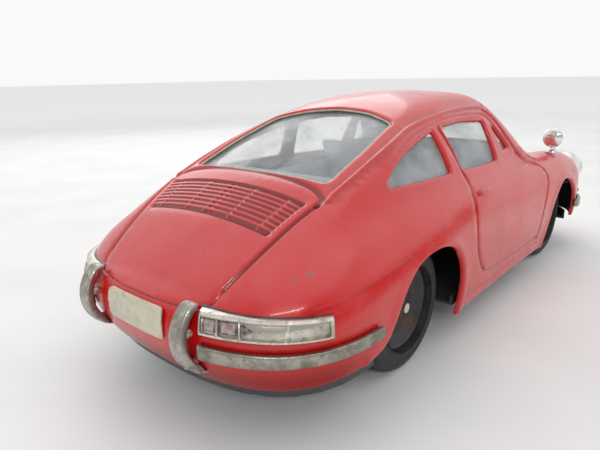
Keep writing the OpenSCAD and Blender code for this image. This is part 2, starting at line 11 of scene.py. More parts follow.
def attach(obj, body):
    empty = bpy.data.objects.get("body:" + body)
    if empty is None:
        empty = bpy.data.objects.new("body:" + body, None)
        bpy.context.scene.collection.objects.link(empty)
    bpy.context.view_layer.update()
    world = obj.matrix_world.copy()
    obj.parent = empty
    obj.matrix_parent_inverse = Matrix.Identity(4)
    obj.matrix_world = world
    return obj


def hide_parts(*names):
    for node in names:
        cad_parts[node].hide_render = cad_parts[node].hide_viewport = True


# Looks of the friction tin car. Lengths are millimetres, in the row frame, until a mesh is made.
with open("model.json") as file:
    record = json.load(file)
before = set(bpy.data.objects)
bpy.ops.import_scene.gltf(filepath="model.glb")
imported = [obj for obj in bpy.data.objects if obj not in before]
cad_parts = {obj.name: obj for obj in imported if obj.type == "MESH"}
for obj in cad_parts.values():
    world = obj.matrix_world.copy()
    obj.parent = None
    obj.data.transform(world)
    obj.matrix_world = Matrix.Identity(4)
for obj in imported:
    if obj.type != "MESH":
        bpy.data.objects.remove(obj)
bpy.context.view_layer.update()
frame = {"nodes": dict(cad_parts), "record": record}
nodes = frame["nodes"]
MM = 0.001
SIDES = ((1, "left"), (-1, "right"))

# ---- Outer surface of the body: the same control values as the CAD shell, at stations every 20 mm
STATION_X0, STATION_PITCH = -140.0, 20.0
ROOF = [22, 38.5, 54, 62.8, 70.2, 76.4, 80, 81, 79.9, 77, 73, 67, 60, 54, 48]
FENDER = [25, 38.5, 46.4, 51, 52.8, 53, 52.4, 51.4, 50.4, 50, 50, 50.4, 48.5, 35, 10]
HOOD = [25, 38.5, 46.4, 51, 52.8, 53, 52.8, 53, 53.5, 53, 50.4, 45.5, 38.5, 27, 8]
CABIN_W = [24, 27, 31.5, 36, 38.4, 39, 38.8, 38.2, 37, 36, 35, 34, 32, 30, 28]
BODY_W = [47, 47.6, 47.8, 48, 48.2, 48, 47.6, 47.4, 47.4, 47.6, 47.8, 47.8, 47.4, 46.4, 45]
SPINE_REAR, SPINE_FRONT = -84.0, 84.0
TAIL_START, TAIL_LEN = -86.0, 40.0
NOSE_START, NOSE_LEN = 92.0, 33.0
PLAN_POWER = 2.7


def spline(c, x):
    c = np.asarray(c, float)
    u = np.clip((np.asarray(x, float) - STATION_X0) / STATION_PITCH, 1.0, len(c) - 2.001)
    i = np.floor(u).astype(int)
    t = u - i
    s = 1 - t
    return (c[i - 1] * s**3 + c[i] * (3 * t**3 - 6 * t**2 + 4)
            + c[i + 1] * (3 * t - 3 * t**3 + 3 * t**2 + 1) + c[i + 2] * t**3) / 6


def round_max(a, b, k):
    """The larger of two fields, with a round joint k wide."""
    h = np.maximum(k - np.abs(a - b), 0) / k
    return np.maximum(a, b) + h**3 * k / 6


def ease(t):
    t = np.clip(t, 0, 1)
    return t * t * (3 - 2 * t)


def side_field(x, y, z):
    down = np.maximum(31 - z, 0)
    up = np.maximum(z - 33, 0)
    w = np.maximum(spline(BODY_W, x) - 0.006 * down**2 - 0.0075 * up**2, 12)
    rear = np.maximum(TAIL_START - x, 0) / np.maximum(TAIL_LEN - 0.03 * down**2 - 0.01 * up**2, 10)
    front = np.maximum(x - NOSE_START, 0) / np.maximum(NOSE_LEN - 0.02 * down**2 - 0.012 * up**2, 10)
    p = ((rear + front)**PLAN_POWER + (np.abs(y) / w)**PLAN_POWER)**(1 / PLAN_POWER)
    return (p - 1) * w * 0.9


def deck_field(x, y, z):
    ridge = ease((np.abs(y) - 14) / 22)
    top = spline(HOOD, x) * (1 - ridge) + spline(FENDER, x) * ridge
    return (z - top + 0.012 * np.maximum(np.abs(y) - 34, 0)**2) * 0.9


def cabin_field(x, y, z):
    crown = 0.0026 * y**2 + 0.0000006 * y**4
    rise = z - 56
    flank = spline(CABIN_W, x) - 0.4 * rise - 0.007 * np.maximum(rise, 0)**2
    screen_x = 62 - 0.0085 * y**2 - 1.38 * (z - 53)
    roof = (z - spline(ROOF, x) + crown) * 0.93
    return round_max(round_max(roof, (np.abs(y) - flank) * 0.9, 7), (x - screen_x) * 0.587, 8)


def field(p):
    x, y, z = p[..., 0], p[..., 1], p[..., 2]
    top = -round_max(-deck_field(x, y, z), -cabin_field(x, y, z), 8)
    return round_max(side_field(x, y, z), top, 14)


def normals(p, e=0.05):
    """Outward unit normals of the surface at points."""
    steps = np.eye(3) * e
    g = np.stack([field(p + s) - field(p - s) for s in steps], -1)
    return g / np.linalg.norm(g, axis=-1, keepdims=True)


def cast(origin, direction, level=0.0, lo=0.5, hi=92.0):
    """Points on rays where the field equals level."""
    shape = np.broadcast_shapes(origin.shape, direction.shape)[:-1]
    lo = np.full(shape, float(lo))
    hi = np.full(shape, float(hi))
    for _ in range(30):
        mid = (lo + hi) / 2
        inside = field(origin + direction * mid[..., None]) < level
        lo = np.where(inside, mid, lo)
        hi = np.where(inside, hi, mid)
    return origin + direction * ((lo + hi) / 2)[..., None]


def vec(x, y, z):
    return np.stack(np.broadcast_arrays(*(np.asarray(v, float) for v in (x, y, z))), -1)


def on_side(xz, side, level=0.0):
    xz = np.asarray(xz, float)
    return cast(vec(xz[..., 0], 0, xz[..., 1]), vec(0, side, 0), level, hi=60)


def on_top(xy, level=0.0):
    xy = np.asarray(xy, float)
    return cast(vec(xy[..., 0], xy[..., 1], 20), vec(0, 0, 1), level, hi=75)


def on_end(yz, end, level=0.0):
    yz = np.asarray(yz, float)
    return cast(vec(end * 70, yz[..., 0], yz[..., 1]), vec(end, 0, 0), level, hi=65)


def round_body(angle, z, level=0.0):
    """Points at a plan direction (degrees) from the nearer end of the spine, at height z."""
    a = np.radians(np.asarray(angle, float))
    x = np.where(np.cos(a) < 0, SPINE_REAR, SPINE_FRONT)
    return cast(vec(x, 0, z), vec(np.cos(a), np.sin(a), 0), level, hi=60)


# ---- Flat map of the shell: a stadium whose spine is the spine of the body. Distance from the spine
# is the angle down from the zenith.
DEGREE = 0.9
SILL_Z, END_EDGE_Z, CORNER_RISE = 10.5, 15.8, 2.6
MAP_R = 90 * DEGREE


def edge_z(sx, phi):
    tail = ease((-58 - sx) / 20)
    nose = ease((sx - 62) / 20)
    return SILL_Z + (END_EDGE_Z - SILL_Z) * (tail + nose) + tail * CORNER_RISE * np.sin(phi)**6


def from_map(uv):
    """Points on the body for points on the flat map."""
    sx = np.clip(uv[..., 0], SPINE_REAR, SPINE_FRONT)
    vx, vy = uv[..., 0] - sx, uv[..., 1]
    phi = np.arctan2(vy, vx)
    up = np.radians(90 - np.hypot(vx, vy) / DEGREE)
    o = vec(sx, 0, edge_z(sx, phi))
    return cast(o, vec(np.cos(up) * np.cos(phi), np.cos(up) * np.sin(phi), np.sin(up)), lo=4)


def to_map(p):
    """Points on the flat map for points on the body."""
    sx = np.clip(p[..., 0], SPINE_REAR, SPINE_FRONT)
    vx, vy = p[..., 0] - sx, p[..., 1]
    phi = np.arctan2(vy, vx)
    up = np.degrees(np.arctan2(p[..., 2] - edge_z(sx, phi), np.hypot(vx, vy)))
    rho = (90 - up) * DEGREE
    return np.stack([sx + rho * np.cos(phi), rho * np.sin(phi)], -1)


# ---- Lines on the surface
def smooth(points, closed=False, steps=14):
    """Catmull-Rom curve through given points."""
    p = np.asarray(points, float)
    if closed:
        q = np.concatenate([p[-1:], p, p[:2]])
    else:
        q = np.concatenate([2 * p[:1] - p[1:2], p, 2 * p[-1:] - p[-2:-1]])
    t = np.arange(steps)[:, None] / steps
    out = []
    for a, b, c, d in zip(q, q[1:], q[2:], q[3:]):
        out.append(0.5 * (2 * b + (c - a) * t + (2 * a - 5 * b + 4 * c - d) * t**2
                          + (3 * b - a - 3 * c + d) * t**3))
    out = np.concatenate(out)
    return out if closed else np.concatenate([out, p[-1:]])


def rounded(corners, steps=7):
    """Closed outline of straight sides with round corners; each corner is (a, b, radius)."""
    c = np.asarray(corners, float)
    out = []
    for prev, here, nxt in zip(np.roll(c, 1, 0), c, np.roll(c, -1, 0)):
        p, back, ahead = here[:2], prev[:2] - here[:2], nxt[:2] - here[:2]
        lb, la = np.linalg.norm(back), np.linalg.norm(ahead)
        turn = math.acos(np.clip(-(back @ ahead) / (lb * la), -1, 1))
        reach = min(here[2] * math.tan(turn / 2), 0.49 * lb, 0.49 * la)
        a, b = p + back / lb * reach, p + ahead / la * reach
        for t in np.linspace(0, 1, steps if here[2] > 0 else 1):
            out.append(a * (1 - t)**2 + 2 * p * t * (1 - t) + b * t**2)
    return np.array(out)


def resample(line, spacing, closed=False):
    """The line again with evenly spaced points."""
    if closed:
        line = np.concatenate([line, line[:1]])
    gaps = np.linalg.norm(np.diff(line, axis=0), axis=1)
    s = np.concatenate([[0], np.cumsum(gaps)])
    n = max(2, int(round(s[-1] / spacing)))
    at = np.linspace(0, s[-1], n + 1)
    out = np.stack([np.interp(at, s, line[:, k]) for k in range(3)], -1)
    return out[:-1] if closed else out


def settle(p):
    """Moves points onto the surface along its normals."""
    for _ in range(3):
        p = p - normals(p) * field(p)[..., None]
    return p


def densify(outline, closed=True, step=0.5):
    """Extra points along the straight stretches of a flat outline."""
    q = np.concatenate([outline, outline[:1]]) if closed else outline
    out = []
    for a, b in zip(q, q[1:]):
        n = max(1, int(np.linalg.norm(b - a) / step))
        out += [a + (b - a) * k / n for k in range(n)]
    if not closed:
        out.append(q[-1])
    return np.array(out)


def beside(line, offset, closed=False):
    """The line moved sideways along the surface; positive is to the left of its direction."""
    if closed:
        ahead = np.roll(line, -1, 0) - np.roll(line, 1, 0)
    else:
        ahead = np.gradient(line, axis=0)
    side = np.cross(normals(line), ahead)
    side /= np.linalg.norm(side, axis=1, keepdims=True)
    return settle(line + side * offset)


def in_outline(points, outline):
    x, y = points[:, 0], points[:, 1]
    inside = np.zeros(len(points), bool)
    a = outline
    b = np.roll(outline, -1, 0)
    for (ax, ay), (bx, by) in zip(a, b):
        if ay != by:
            crosses = ((ay > y) != (by > y)) & (x < (bx - ax) * (y - ay) / (by - ay) + ax)
            inside ^= crosses
    return inside


def distance(points, line, reach, closed=False):
    """Distance to a line on the surface, at most reach."""
    if closed:
        line = np.concatenate([line, line[:1]])
    near = np.all((points > line.min(0) - reach) & (points < line.max(0) + reach), axis=1)
    idx = np.nonzero(near)[0]
    d = np.full(len(points), float(reach))
    a, ab = line[:-1], np.diff(line, axis=0)
    length2 = (ab**2).sum(1)
    for part in np.array_split(idx, max(1, len(idx) // 2000)):
        if len(part):
            rel = points[part][:, None] - a
            t = np.clip((rel * ab).sum(-1) / length2, 0, 1)
            d[part] = np.minimum(np.linalg.norm(rel - ab * t[..., None], axis=-1).min(1), reach)
    return d


# ---- Openings and pressed lines of the shell. Side outlines are (x, z), top ones (x, y).
QUARTER_WINDOW = [(-68.6, 56.9, 2.2), (-61, 61.6, 6), (-51.5, 65.1, 9), (-41, 67.6, 9), (-32.6, 69.1, 1),
                  (-31.4, 63, 6), (-30.4, 56.1, 1.2)]
DOOR_WINDOW = [(-25.9, 69.9, 1.2), (-9, 70.5, 20), (10.8, 69.3, 1.4), (10.4, 55, 1.4), (-6, 55.1, 30),
               (-22.4, 55.7, 1.6)]
QUARTER_LIGHT = [(16.2, 66.6, 0.6), (19.2, 66.4, 0.6), (26.6, 57.8, 0.9), (18.8, 57.6, 0.6)]
REAR_WINDOW = [(-81.9, 27, 2.6), (-83, 14, 40), (-83.3, 0, 60), (-83, -14, 40), (-81.9, -27, 2.6),
               (-64, -26.6, 30), (-45.6, -24.6, 3.4), (-41, -13, 20), (-39.2, 0, 30), (-41, 13, 20),
               (-45.6, 24.6, 3.4), (-64, 26.6, 30)]
WINDSCREEN = [(58, 0, 60), (55, -19, 30), (49, -30, 2.4), (32, -26.6, 2.4), (34.8, -12, 30),
              (35.6, 0, 40), (34.8, 12, 30), (32, 26.6, 2.4), (49, 30, 2.4), (55, 19, 30)]
REAR_ARCH = [(-37.2, 10.5), (-37.4, 14), (-37.8, 19), (-39, 26), (-41.6, 31.8), (-46.2, 36.4),
             (-53, 38.6), (-60.5, 38.9), (-67.5, 37.7), (-72.8, 34.8), (-76.7, 30.6), (-79.7, 25.8),
             (-82.6, 21.5), (-86.2, 19.2), (-90.6, 18.4)]
FRONT_ARCH = [(96.6, 15.8), (95.6, 18.6), (93.8, 23.6), (90.6, 29.6), (86, 34.2), (80.4, 37.4),
              (73.5, 38.6), (66.6, 37.4), (61, 34.2), (56.4, 29.6), (53.4, 23.6), (52.2, 17), (52, 10.5)]

LID_TOP = [(-84.2, 0), (-84.2, 10), (-84.4, 19), (-85.2, 25.4), (-87, 29), (-89.6, 29.6)]
LID_SIDE = [(-89.6, 29.6), (-94.8, 28.5), (-104.9, 26.7), (-112.2, 25), (-116.6, 23.8)]
LID_FOOT = [(23.6, 39.2), (23.2, 38), (21.6, 36.9), (17, 36.4), (8, 36.3), (0, 36.3)]
DRIP_RAIL = [(-86.6, 30.9), (-83.8, 30.6), (-75.6, 30.9), (-63.7, 30.7), (-55.2, 30.3), (-45, 29.3),
             (-29.6, 28.8), (-17.4, 28.2), (-5, 27.6), (8, 27.2), (17, 27.2)]
PILLAR = [(17, 72.9), (22.6, 69.4), (29.4, 61.4), (35.6, 54.6), (40.5, 51.6)]
WINDOW_RAIL = [(-62, 62.6), (-52, 66.6), (-41.5, 69.3), (-29, 71.3), (-16, 72.2), (-2, 72.2), (13.4, 71),
               (20, 65.4), (27.2, 57.4)]
DOOR_REAR = [(-28.4, 69.6), (-25.4, 62), (-23.6, 56.4), (-23, 51.8), (-25.6, 48.4), (-28.2, 44.6),
             (-29.2, 40), (-28.7, 34), (-26.3, 28.2), (-22.4, 23.6), (-20.2, 22)]
DOOR_FRONT = [(33, 55.4), (38, 51), (43.6, 49.9), (47.6, 48.2), (48.9, 45.6), (47.8, 41.6), (44.6, 37),
              (42.3, 32), (40.9, 26), (39.6, 20.4), (38.6, 18.6)]
DOOR_FOOT = [(-20.2, 22), (-18, 20.4), (-8, 19.2), (6, 18.5), (24, 18.2), (38.6, 18.6)]
SILL_CREASE = [(-31, 16.6), (-22, 15.6), (-8, 15), (8, 15), (24, 15.4), (40, 16)]
WING_CREASE = [(-107, 36.9), (-99, 38), (-90, 39), (-78.4, 39.9), (-71, 40.9)]
HOOD_SIDE = [(64, 26.4), (78, 25), (92, 22.4), (104, 19.4), (112, 16.6)]
HOOD_TOP = [(64, 26.4), (66.4, 14), (67.2, 0)]
HOOD_FOOT = [(16.6, 37), (14, 34), (8, 33), (0, 32.6)]

# Pressed lines of one side: (outline, spacing of its points, half width, depth, width of the raised
# lips, their height). A negative depth is a raised line.
TOP_LINES = [(LID_SIDE, 0.7, 0.62, 0.75, 0.7, 0.18), (HOOD_SIDE, 1.2, 0.5, 0.35, 0, 0),
             (DRIP_RAIL, 0.8, 0.55, -0.42, 0.55, -0.3)]
SIDE_LINES = [(PILLAR, 0.8, 0.55, -0.42, 0.55, -0.3), (WINDOW_RAIL, 0.9, 0.5, 0.28, 0.6, 0.2),
              (DOOR_REAR, 0.7, 0.5, 0.55, 0.55, 0.1), (DOOR_FRONT, 0.7, 0.5, 0.5, 0.55, 0.1),
              (DOOR_FOOT, 0.9, 0.5, 0.42, 0.55, 0.08), (SILL_CREASE, 0.9, 0.7, 0.3, 0.9, 0.25),
              (WING_CREASE, 0.9, 0.8, 0.26, 1.2, 0.2)]

# Louvre panel of the lid: its ends, its bow, its half width at the top and how much that shrinks
GRILLE_TOP, GRILLE_FOOT, LOUVRES = -90, -101.6, 8
GRILLE_LEN = GRILLE_TOP - GRILLE_FOOT
GRILLE_BOW, GRILLE_HALF, GRILLE_TAPER = 0.0009, 26.4, 2.4
GRILLE_BARS = [0.045, -0.045, 0.36, -0.36, 0.84, -0.84]


def across(points):
    """An end line (y, z) from one side to the car's middle, continued to the other side."""
    return points + [(-y, z) for y, z in points[-2::-1]]


def whole_width(points):
    """A top line (x, y) given on one side of the middle, with its mirror image before it."""
    outwards = points if points[0][1] == 0 else points[::-1]
    return [(x, -y) for x, y in outwards[:0:-1]] + outwards


def curve(points):
    return densify(smooth(points), False)


def pressed_lines():
    """(points on the surface, half width, depth, width of the lips, their height) of each line."""
    lines = []

    def add(points, spacing, *section):
        lines.append((resample(points, spacing), *section))

    add(on_top(curve(whole_width(LID_TOP))), 0.8, 0.85, 0.75, 0.8, 0.12)
    add(on_top(curve(whole_width(HOOD_TOP))), 1.2, 0.5, 0.35, 0, 0)
    add(on_end(curve(across(LID_FOOT)), -1), 0.8, 0.34, 0.4, 0, 0)
    add(on_end(curve(across(HOOD_FOOT)), 1), 1.2, 0.5, 0.35, 0, 0)
    for side, _ in SIDES:
        for outline, *how in TOP_LINES:
            add(on_top(curve([(x, side * y) for x, y in outline])), *how)
        for outline, *how in SIDE_LINES:
            add(on_side(curve(outline), side), *how)
    return lines


def shell_openings():
    """Closed openings as lines on the surface."""
    loops = [on_top(densify(rounded(o))) for o in (REAR_WINDOW, WINDSCREEN)]
    for side, _ in SIDES:
        loops += [on_side(densify(rounded(o)), side) for o in (QUARTER_WINDOW, DOOR_WINDOW, QUARTER_LIGHT)]
    return [resample(loop, 0.8, closed=True) for loop in loops]


def arch_lines():
    """Both arches of each side as open lines, from the front foot to the rear foot."""
    return [resample(on_side(curve(points), side), 0.8)
            for side, _ in SIDES for points in (FRONT_ARCH, REAR_ARCH)]


def shell_border(arches):
    """The shell's lower edge with the wheel arches, as one closed outline on the map."""
    fronts, rears = arches[0::2], arches[1::2]
    right_front, right_rear = to_map(fronts[1]), to_map(rears[1])
    left_front, left_rear = to_map(fronts[0]), to_map(rears[0])

    def edge(a, b):
        """Along the lower edge between two map points, anticlockwise."""
        pos_a, pos_b = edge_length(a), edge_length(b)
        if pos_b < pos_a:
            pos_b += EDGE_LOOP
        n = max(2, int((pos_b - pos_a) / 1.3))
        return np.array([edge_point(p) for p in np.linspace(pos_a, pos_b, n + 1)])

    # anticlockwise on the map: nose (+x), left side (+y), tail (-x), right side (-y)
    parts = [left_front, edge(left_front[-1], left_rear[0]), left_rear,
             edge(left_rear[-1], right_rear[-1]), right_rear[::-1],
             edge(right_rear[0], right_front[-1]), right_front[::-1],
             edge(right_front[0], left_front[0])]
    return np.concatenate([p[:-1] for p in parts])


SPINE = SPINE_FRONT - SPINE_REAR
END_ARC = math.pi * MAP_R
EDGE_LOOP = 2 * SPINE + 2 * END_ARC


def edge_point(s):
    """Point at a distance along the map's edge, from the front end of the left side."""
    s = s % EDGE_LOOP
    if s < SPINE:
        return (SPINE_FRONT - s, MAP_R)
    s -= SPINE
    if s < END_ARC:
        a = math.pi / 2 + s / MAP_R
        return (SPINE_REAR + MAP_R * math.cos(a), MAP_R * math.sin(a))
    s -= END_ARC
    if s < SPINE:
        return (SPINE_REAR + s, -MAP_R)
    a = -math.pi / 2 + (s - SPINE) / MAP_R
    return (SPINE_FRONT + MAP_R * math.cos(a), MAP_R * math.sin(a))


def edge_length(uv):
    """How far along the map's edge a point is."""
    x, y = uv
    if x < SPINE_REAR:
        return SPINE + (math.atan2(y, x - SPINE_REAR) - math.pi / 2) % (2 * math.pi) * MAP_R
    if x > SPINE_FRONT:
        return 2 * SPINE + END_ARC + (math.atan2(y, x - SPINE_FRONT) + math.pi / 2) * MAP_R
    return SPINE_FRONT - x if y > 0 else SPINE + END_ARC + x - SPINE_REAR


class Points:
    """Points accepted in order of importance, each at least a given distance from the others."""

    def __init__(self, cell=1.3):
        self.cell = cell
        self.cells = {}
        self.uv = []
        self.xyz = []

    def add(self, uv, xyz, gap):
        reach = int(math.ceil(gap / self.cell))
        gap2 = gap * gap
        for q, p in zip(uv.tolist(), xyz.tolist()):
            i, j, k = (int(math.floor(v / self.cell)) for v in p)
            if gap and any((p[0] - o[0])**2 + (p[1] - o[1])**2 + (p[2] - o[2])**2 < gap2
                           for a in range(i - reach, i + reach + 1)
                           for b in range(j - reach, j + reach + 1)
                           for c in range(k - reach, k + reach + 1)
                           for o in self.cells.get((a, b, c), ())):
                continue
            self.cells.setdefault((i, j, k), []).append(p)
            self.uv.append(q)
            self.xyz.append(p)


def grille_coordinates(p):
    """Place in the louvre panel: 0 to 1 down the slope, -1 to 1 across."""
    down = (GRILLE_TOP - p[:, 0] - GRILLE_BOW * p[:, 1]**2) / GRILLE_LEN
    return down, p[:, 1] / (GRILLE_HALF - GRILLE_TAPER * np.clip(down, 0, 1))


def grille_points():
    down = np.linspace(-0.04, 1.04, LOUVRES * 6 + 5)
    over = np.concatenate([np.linspace(-1.02, 1.02, 66)] + [[b - 0.02, b, b + 0.02] for b in GRILLE_BARS])
    d, o = (g.ravel() for g in np.meshgrid(down, over))
    y = o * (GRILLE_HALF - GRILLE_TAPER * np.clip(d, 0, 1))
    return on_top(np.stack([GRILLE_TOP - d * GRILLE_LEN - GRILLE_BOW * y**2, y], -1))


def grille_relief(p):
    """Height of the louvre panel: slots between bars, a sunk rim and ends."""
    down, over = grille_coordinates(p)
    width, soft = 26, 0.45
    past_side, past_end = np.abs(over) - 1, np.abs(down - 0.5) - 0.5
    border = np.maximum(past_side, 0) * width + np.maximum(past_end, 0) * GRILLE_LEN
    wave = 0.5 - 0.5 * np.cos(2 * math.pi * (down * LOUVRES))
    slot = np.clip((wave - 0.35) / 0.5, 0, 1)
    bar = np.zeros(len(p))
    for b in GRILLE_BARS:
        bar = np.maximum(bar, np.clip(1.6 - np.abs(over - b) * width / 0.42, 0, 1))
    slot = np.where(np.abs(over) < 0.03, slot * 1.3, slot * (1 - 0.75 * bar))
    rim = np.exp(-(past_end * GRILLE_LEN / soft)**2) * (past_side < 0)
    ends = np.exp(-(past_side * width / soft)**2) * ((down > 0) & (down < 1))
    fade = np.exp(-(border / 0.5)**2)
    panel = np.where(border < 0.05, -0.12 - 0.5 * slot, -0.12 * fade)
    return np.where(p[:, 2] > 44, panel - 0.6 * rim * fade - 0.25 * ends, 0)


def base_grid():
    """Staggered points over the whole map, about 2 mm apart on the car."""
    out = []
    for i, up in enumerate(np.arange(0.9, 89.5, 1.75)):
        rho = (90 - up) * DEGREE
        xs = np.arange(SPINE_REAR, SPINE_FRONT, 2.0) + (i % 2)
        out += [(x, s * rho) for x in xs for s in (1, -1)]
        reach = 6 + 42 * math.cos(math.radians(up))
        n = max(3, int(math.pi * reach / 2.0))
        for end in (-1, 1):
            for k in range(n):
                a = math.pi * (k + 0.5 * (i % 2)) / n
                side_x = SPINE_REAR if end < 0 else SPINE_FRONT
                out.append((side_x + end * rho * math.sin(a), rho * math.cos(a)))
    out += [(x, 0) for x in np.arange(SPINE_REAR, SPINE_FRONT + 1, 2.0)]
    return np.array(out)


# Shallow dents: place, size and depth
DENTS = [(-108, -9, 48, 9, 0.22), (-112, 12, 44, 7, 0.18), (-76, -44, 44, 12, 0.15), (-20, 10, 80, 22, 0.2),
         (8, -46, 36, 16, 0.18), (-104, -34, 41, 7, 0.2), (60, 20, 52, 14, 0.2), (95, -10, 42, 12, 0.15),
         (-118, -6, 28, 8, 0.15), (30, 46, 34, 16, 0.18)]


TIN = 0.62
# Rows of extra points beside the edges (mm) and beside the pressed lines (in half widths)
EDGE_ROWS = (0.12, 0.3, 0.55, 0.9, 1.5)
LINE_ROWS = (0, 0.4, -0.4, 0.8, -0.8, 1.2, -1.2, 1.8, -1.8)
# Least distance between points at an edge, beside it and in the louvres, at a line, and elsewhere
EDGE_GAP, FINE_GAP, LINE_GAP, SKIN_GAP = 0.1, 0.17, 0.2, 1.15


def build_shell():
    """Points and faces of the pressed shell, which faces are its underside, and how deep each point lies in
    the grooves, which sets the painted shade of the grooves.
    """
    openings = shell_openings()
    arches = arch_lines()
    lines = pressed_lines()
    border = shell_border(arches)
    border_xyz = from_map(border)
    pts = Points()
    loops = [border] + [to_map(o) for o in openings]
    for loop, xyz in zip(loops, [border_xyz] + openings):
        pts.add(loop, xyz, 0)
    # rows of points beside each edge, away from the opening
    for k, (loop, xyz) in enumerate(zip(loops, [border_xyz] + openings)):
        for off in EDGE_ROWS:
            moved = beside(xyz, off, closed=True)
            wrong = in_outline(to_map(moved), loop).mean() > 0.5
            if k == 0:
                wrong = not wrong
            moved = beside(xyz, -off, closed=True) if wrong else moved
            pts.add(to_map(moved), moved, EDGE_GAP if off < 0.2 else FINE_GAP)
    for line, width, *_ in lines:
        for off in LINE_ROWS:
            moved = beside(line, off * width) if off else line
            pts.add(to_map(moved), moved, LINE_GAP)
    g = grille_points()
    pts.add(to_map(g), g, FINE_GAP)
    uv = base_grid()
    xyz = from_map(uv)
    keep = np.linalg.norm(uv - np.clip(uv, [SPINE_REAR, 0], [SPINE_FRONT, 0]), axis=1) < MAP_R - 0.5
    pts.add(uv[keep], xyz[keep], SKIN_GAP)

    uv, xyz = np.array(pts.uv), np.array(pts.xyz)
    edges, start = [], 0
    for loop in loops:
        n = len(loop)
        edges += [(start + i, start + (i + 1) % n) for i in range(n)]
        start += n
    found = delaunay_2d_cdt([Vector(q) for q in uv.tolist()], edges, [], 0, 1e-5)
    out_uv = np.array([tuple(v) for v in found[0]])
    tris = np.array(found[2])
    out_xyz = xyz[[ids[0] if ids else 0 for ids in found[3]]]
    added = np.array([not ids for ids in found[3]])
    if added.any():
        out_xyz[added] = from_map(out_uv[added])
    middle = out_uv[tris].mean(1)
    keep = in_outline(middle, border)
    for loop in loops[1:]:
        keep &= ~in_outline(middle, loop)
    tris = tris[keep]
    used, tris = np.unique(tris, return_inverse=True)
    tris = tris.reshape(-1, 3)
    p = out_xyz[used]
    n = normals(p)
    rise, groove_shade = relief(p, border_xyz, openings, arches, lines)
    outer = p + n * rise[:, None]
    inner = outer - n * TIN
    # all faces outwards
    a, b, c = (p[tris[:, i]] for i in range(3))
    flip = (np.cross(b - a, c - a) * n[tris[:, 0]]).sum(1) < 0
    tris[flip] = tris[flip][:, ::-1]
    m = len(p)
    count = {}
    for t in tris.tolist():
        for i, j in ((t[0], t[1]), (t[1], t[2]), (t[2], t[0])):
            count[(i, j)] = count.get((i, j), 0) + 1
    rim = [(i, j) for (i, j) in count if (j, i) not in count]
    faces = tris.tolist() + (tris[:, ::-1] + m).tolist()
    faces += [(j, i, i + m, j + m) for i, j in rim]
    inside = np.zeros(len(faces), int)
    inside[len(tris):2 * len(tris)] = 1
    return np.concatenate([outer, inner]), faces, inside, np.concatenate([groove_shade, 0 * groove_shade])


def relief(p, border, openings, arches, lines):
    """Height of the pressing above the plain surface at each point, and how deep in the grooves it is, which
    sets their painted shade.
    """
    rise = grille_relief(p)
    for line, width, depth, lip_w, lip_h in lines:
        d = distance(p, line, 4.0)
        rise -= depth * np.exp(-(d / width)**2)
        if lip_w:
            rise += lip_h * np.exp(-((d - 1.9 * width) / lip_w)**2)
    groove_shade = np.clip((-rise - 0.12) / 0.4, 0, 1)
    for line in arches:
        d = distance(p, line, 6.0)
        rise += 0.55 * np.exp(-((d - 1.5) / 1.3)**2)
    for line in openings:
        d = distance(p, line, 4.0, closed=True)
        rise += 0.12 * np.exp(-((d - 1.3) / 0.7)**2)
        rise -= bend(d, 0.75)
    d = distance(p, border, 4.0, closed=True)
    rise -= bend(d, 0.6)
    for x, y, z, size, depth in DENTS:
        r2 = ((p - [x, y, z])**2).sum(1) / size**2
        rise -= depth * np.exp(-r2 * 3)
    return rise, groove_shade


def bend(d, radius):
    """How far an edge bent over at a radius has dropped, at a distance from the edge."""
    t = np.clip(radius - d, 0, radius)
    return radius - np.sqrt(np.maximum(radius**2 - t**2, 0))


# ---- Mesh helpers
def add_mesh(name, points, faces, slot, replaces=(), body="root", materials=None, sharp=42, groups=None,
             tidy=True):
    """A piece that rides a body. Its material is the slot's unless materials are given."""
    mesh = bpy.data.meshes.new(name)
    mesh.from_pydata((np.asarray(points, float) * MM).tolist(), [], [tuple(f) for f in faces])
    for m in materials or [slot]:
        mesh.materials.append(MATERIALS[m])
    if groups is not None:
        mesh.polygons.foreach_set("material_index", groups)
    obj = bpy.data.objects.new(name, mesh)
    bpy.context.scene.collection.objects.link(obj)
    if tidy:
        bm = bmesh.new()
        bm.from_mesh(mesh)
        bmesh.ops.remove_doubles(bm, verts=bm.verts, dist=1e-7)
        bmesh.ops.recalc_face_normals(bm, faces=bm.faces)
        bm.to_mesh(mesh)
        bm.free()
    mesh.shade_smooth()
    mesh.set_sharp_from_angle(angle=math.radians(sharp))
    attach(obj, body)
    if replaces:
        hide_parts(*replaces)
    return obj


def slab(outer, inner):
    """Points and faces of a closed slab between two grids of points."""
    n, m = outer.shape[:2]
    pts = np.concatenate([outer.reshape(-1, 3), inner.reshape(-1, 3)])
    half = n * m
    faces = []
    for i in range(n - 1):
        for j in range(m - 1):
            a, b, c, d = i * m + j, (i + 1) * m + j, (i + 1) * m + j + 1, i * m + j + 1
            faces.append((a, b, c, d))
            faces.append((d + half, c + half, b + half, a + half))
    ring = ([i * m for i in range(n)] + [(n - 1) * m + j for j in range(1, m)]
            + [i * m + m - 1 for i in range(n - 2, -1, -1)] + [j for j in range(m - 2, 0, -1)])
    for a, b in zip(ring, ring[1:] + ring[:1]):
        faces.append((b, a, a + half, b + half))
    return pts, faces


def tube(grid, tips=None, fans=True):
    """Points and faces of a skin over rings of points, with a fan to a tip at both ends. The tips
    are the middles of the end rings unless given."""
    n, m = grid.shape[:2]
    pts = grid.reshape(-1, 3)
    faces = [(i * m + j, i * m + (j + 1) % m, (i + 1) * m + (j + 1) % m, (i + 1) * m + j)
             for i in range(n - 1) for j in range(m)]
    if fans:
        tips = grid[[0, -1]].mean(1) if tips is None else tips
        pts = np.concatenate([pts, tips])
        faces += [(n * m, (j + 1) % m, j) for j in range(m)]
        faces += [(n * m + 1, (n - 1) * m + j, (n - 1) * m + (j + 1) % m) for j in range(m)]
    return pts, faces


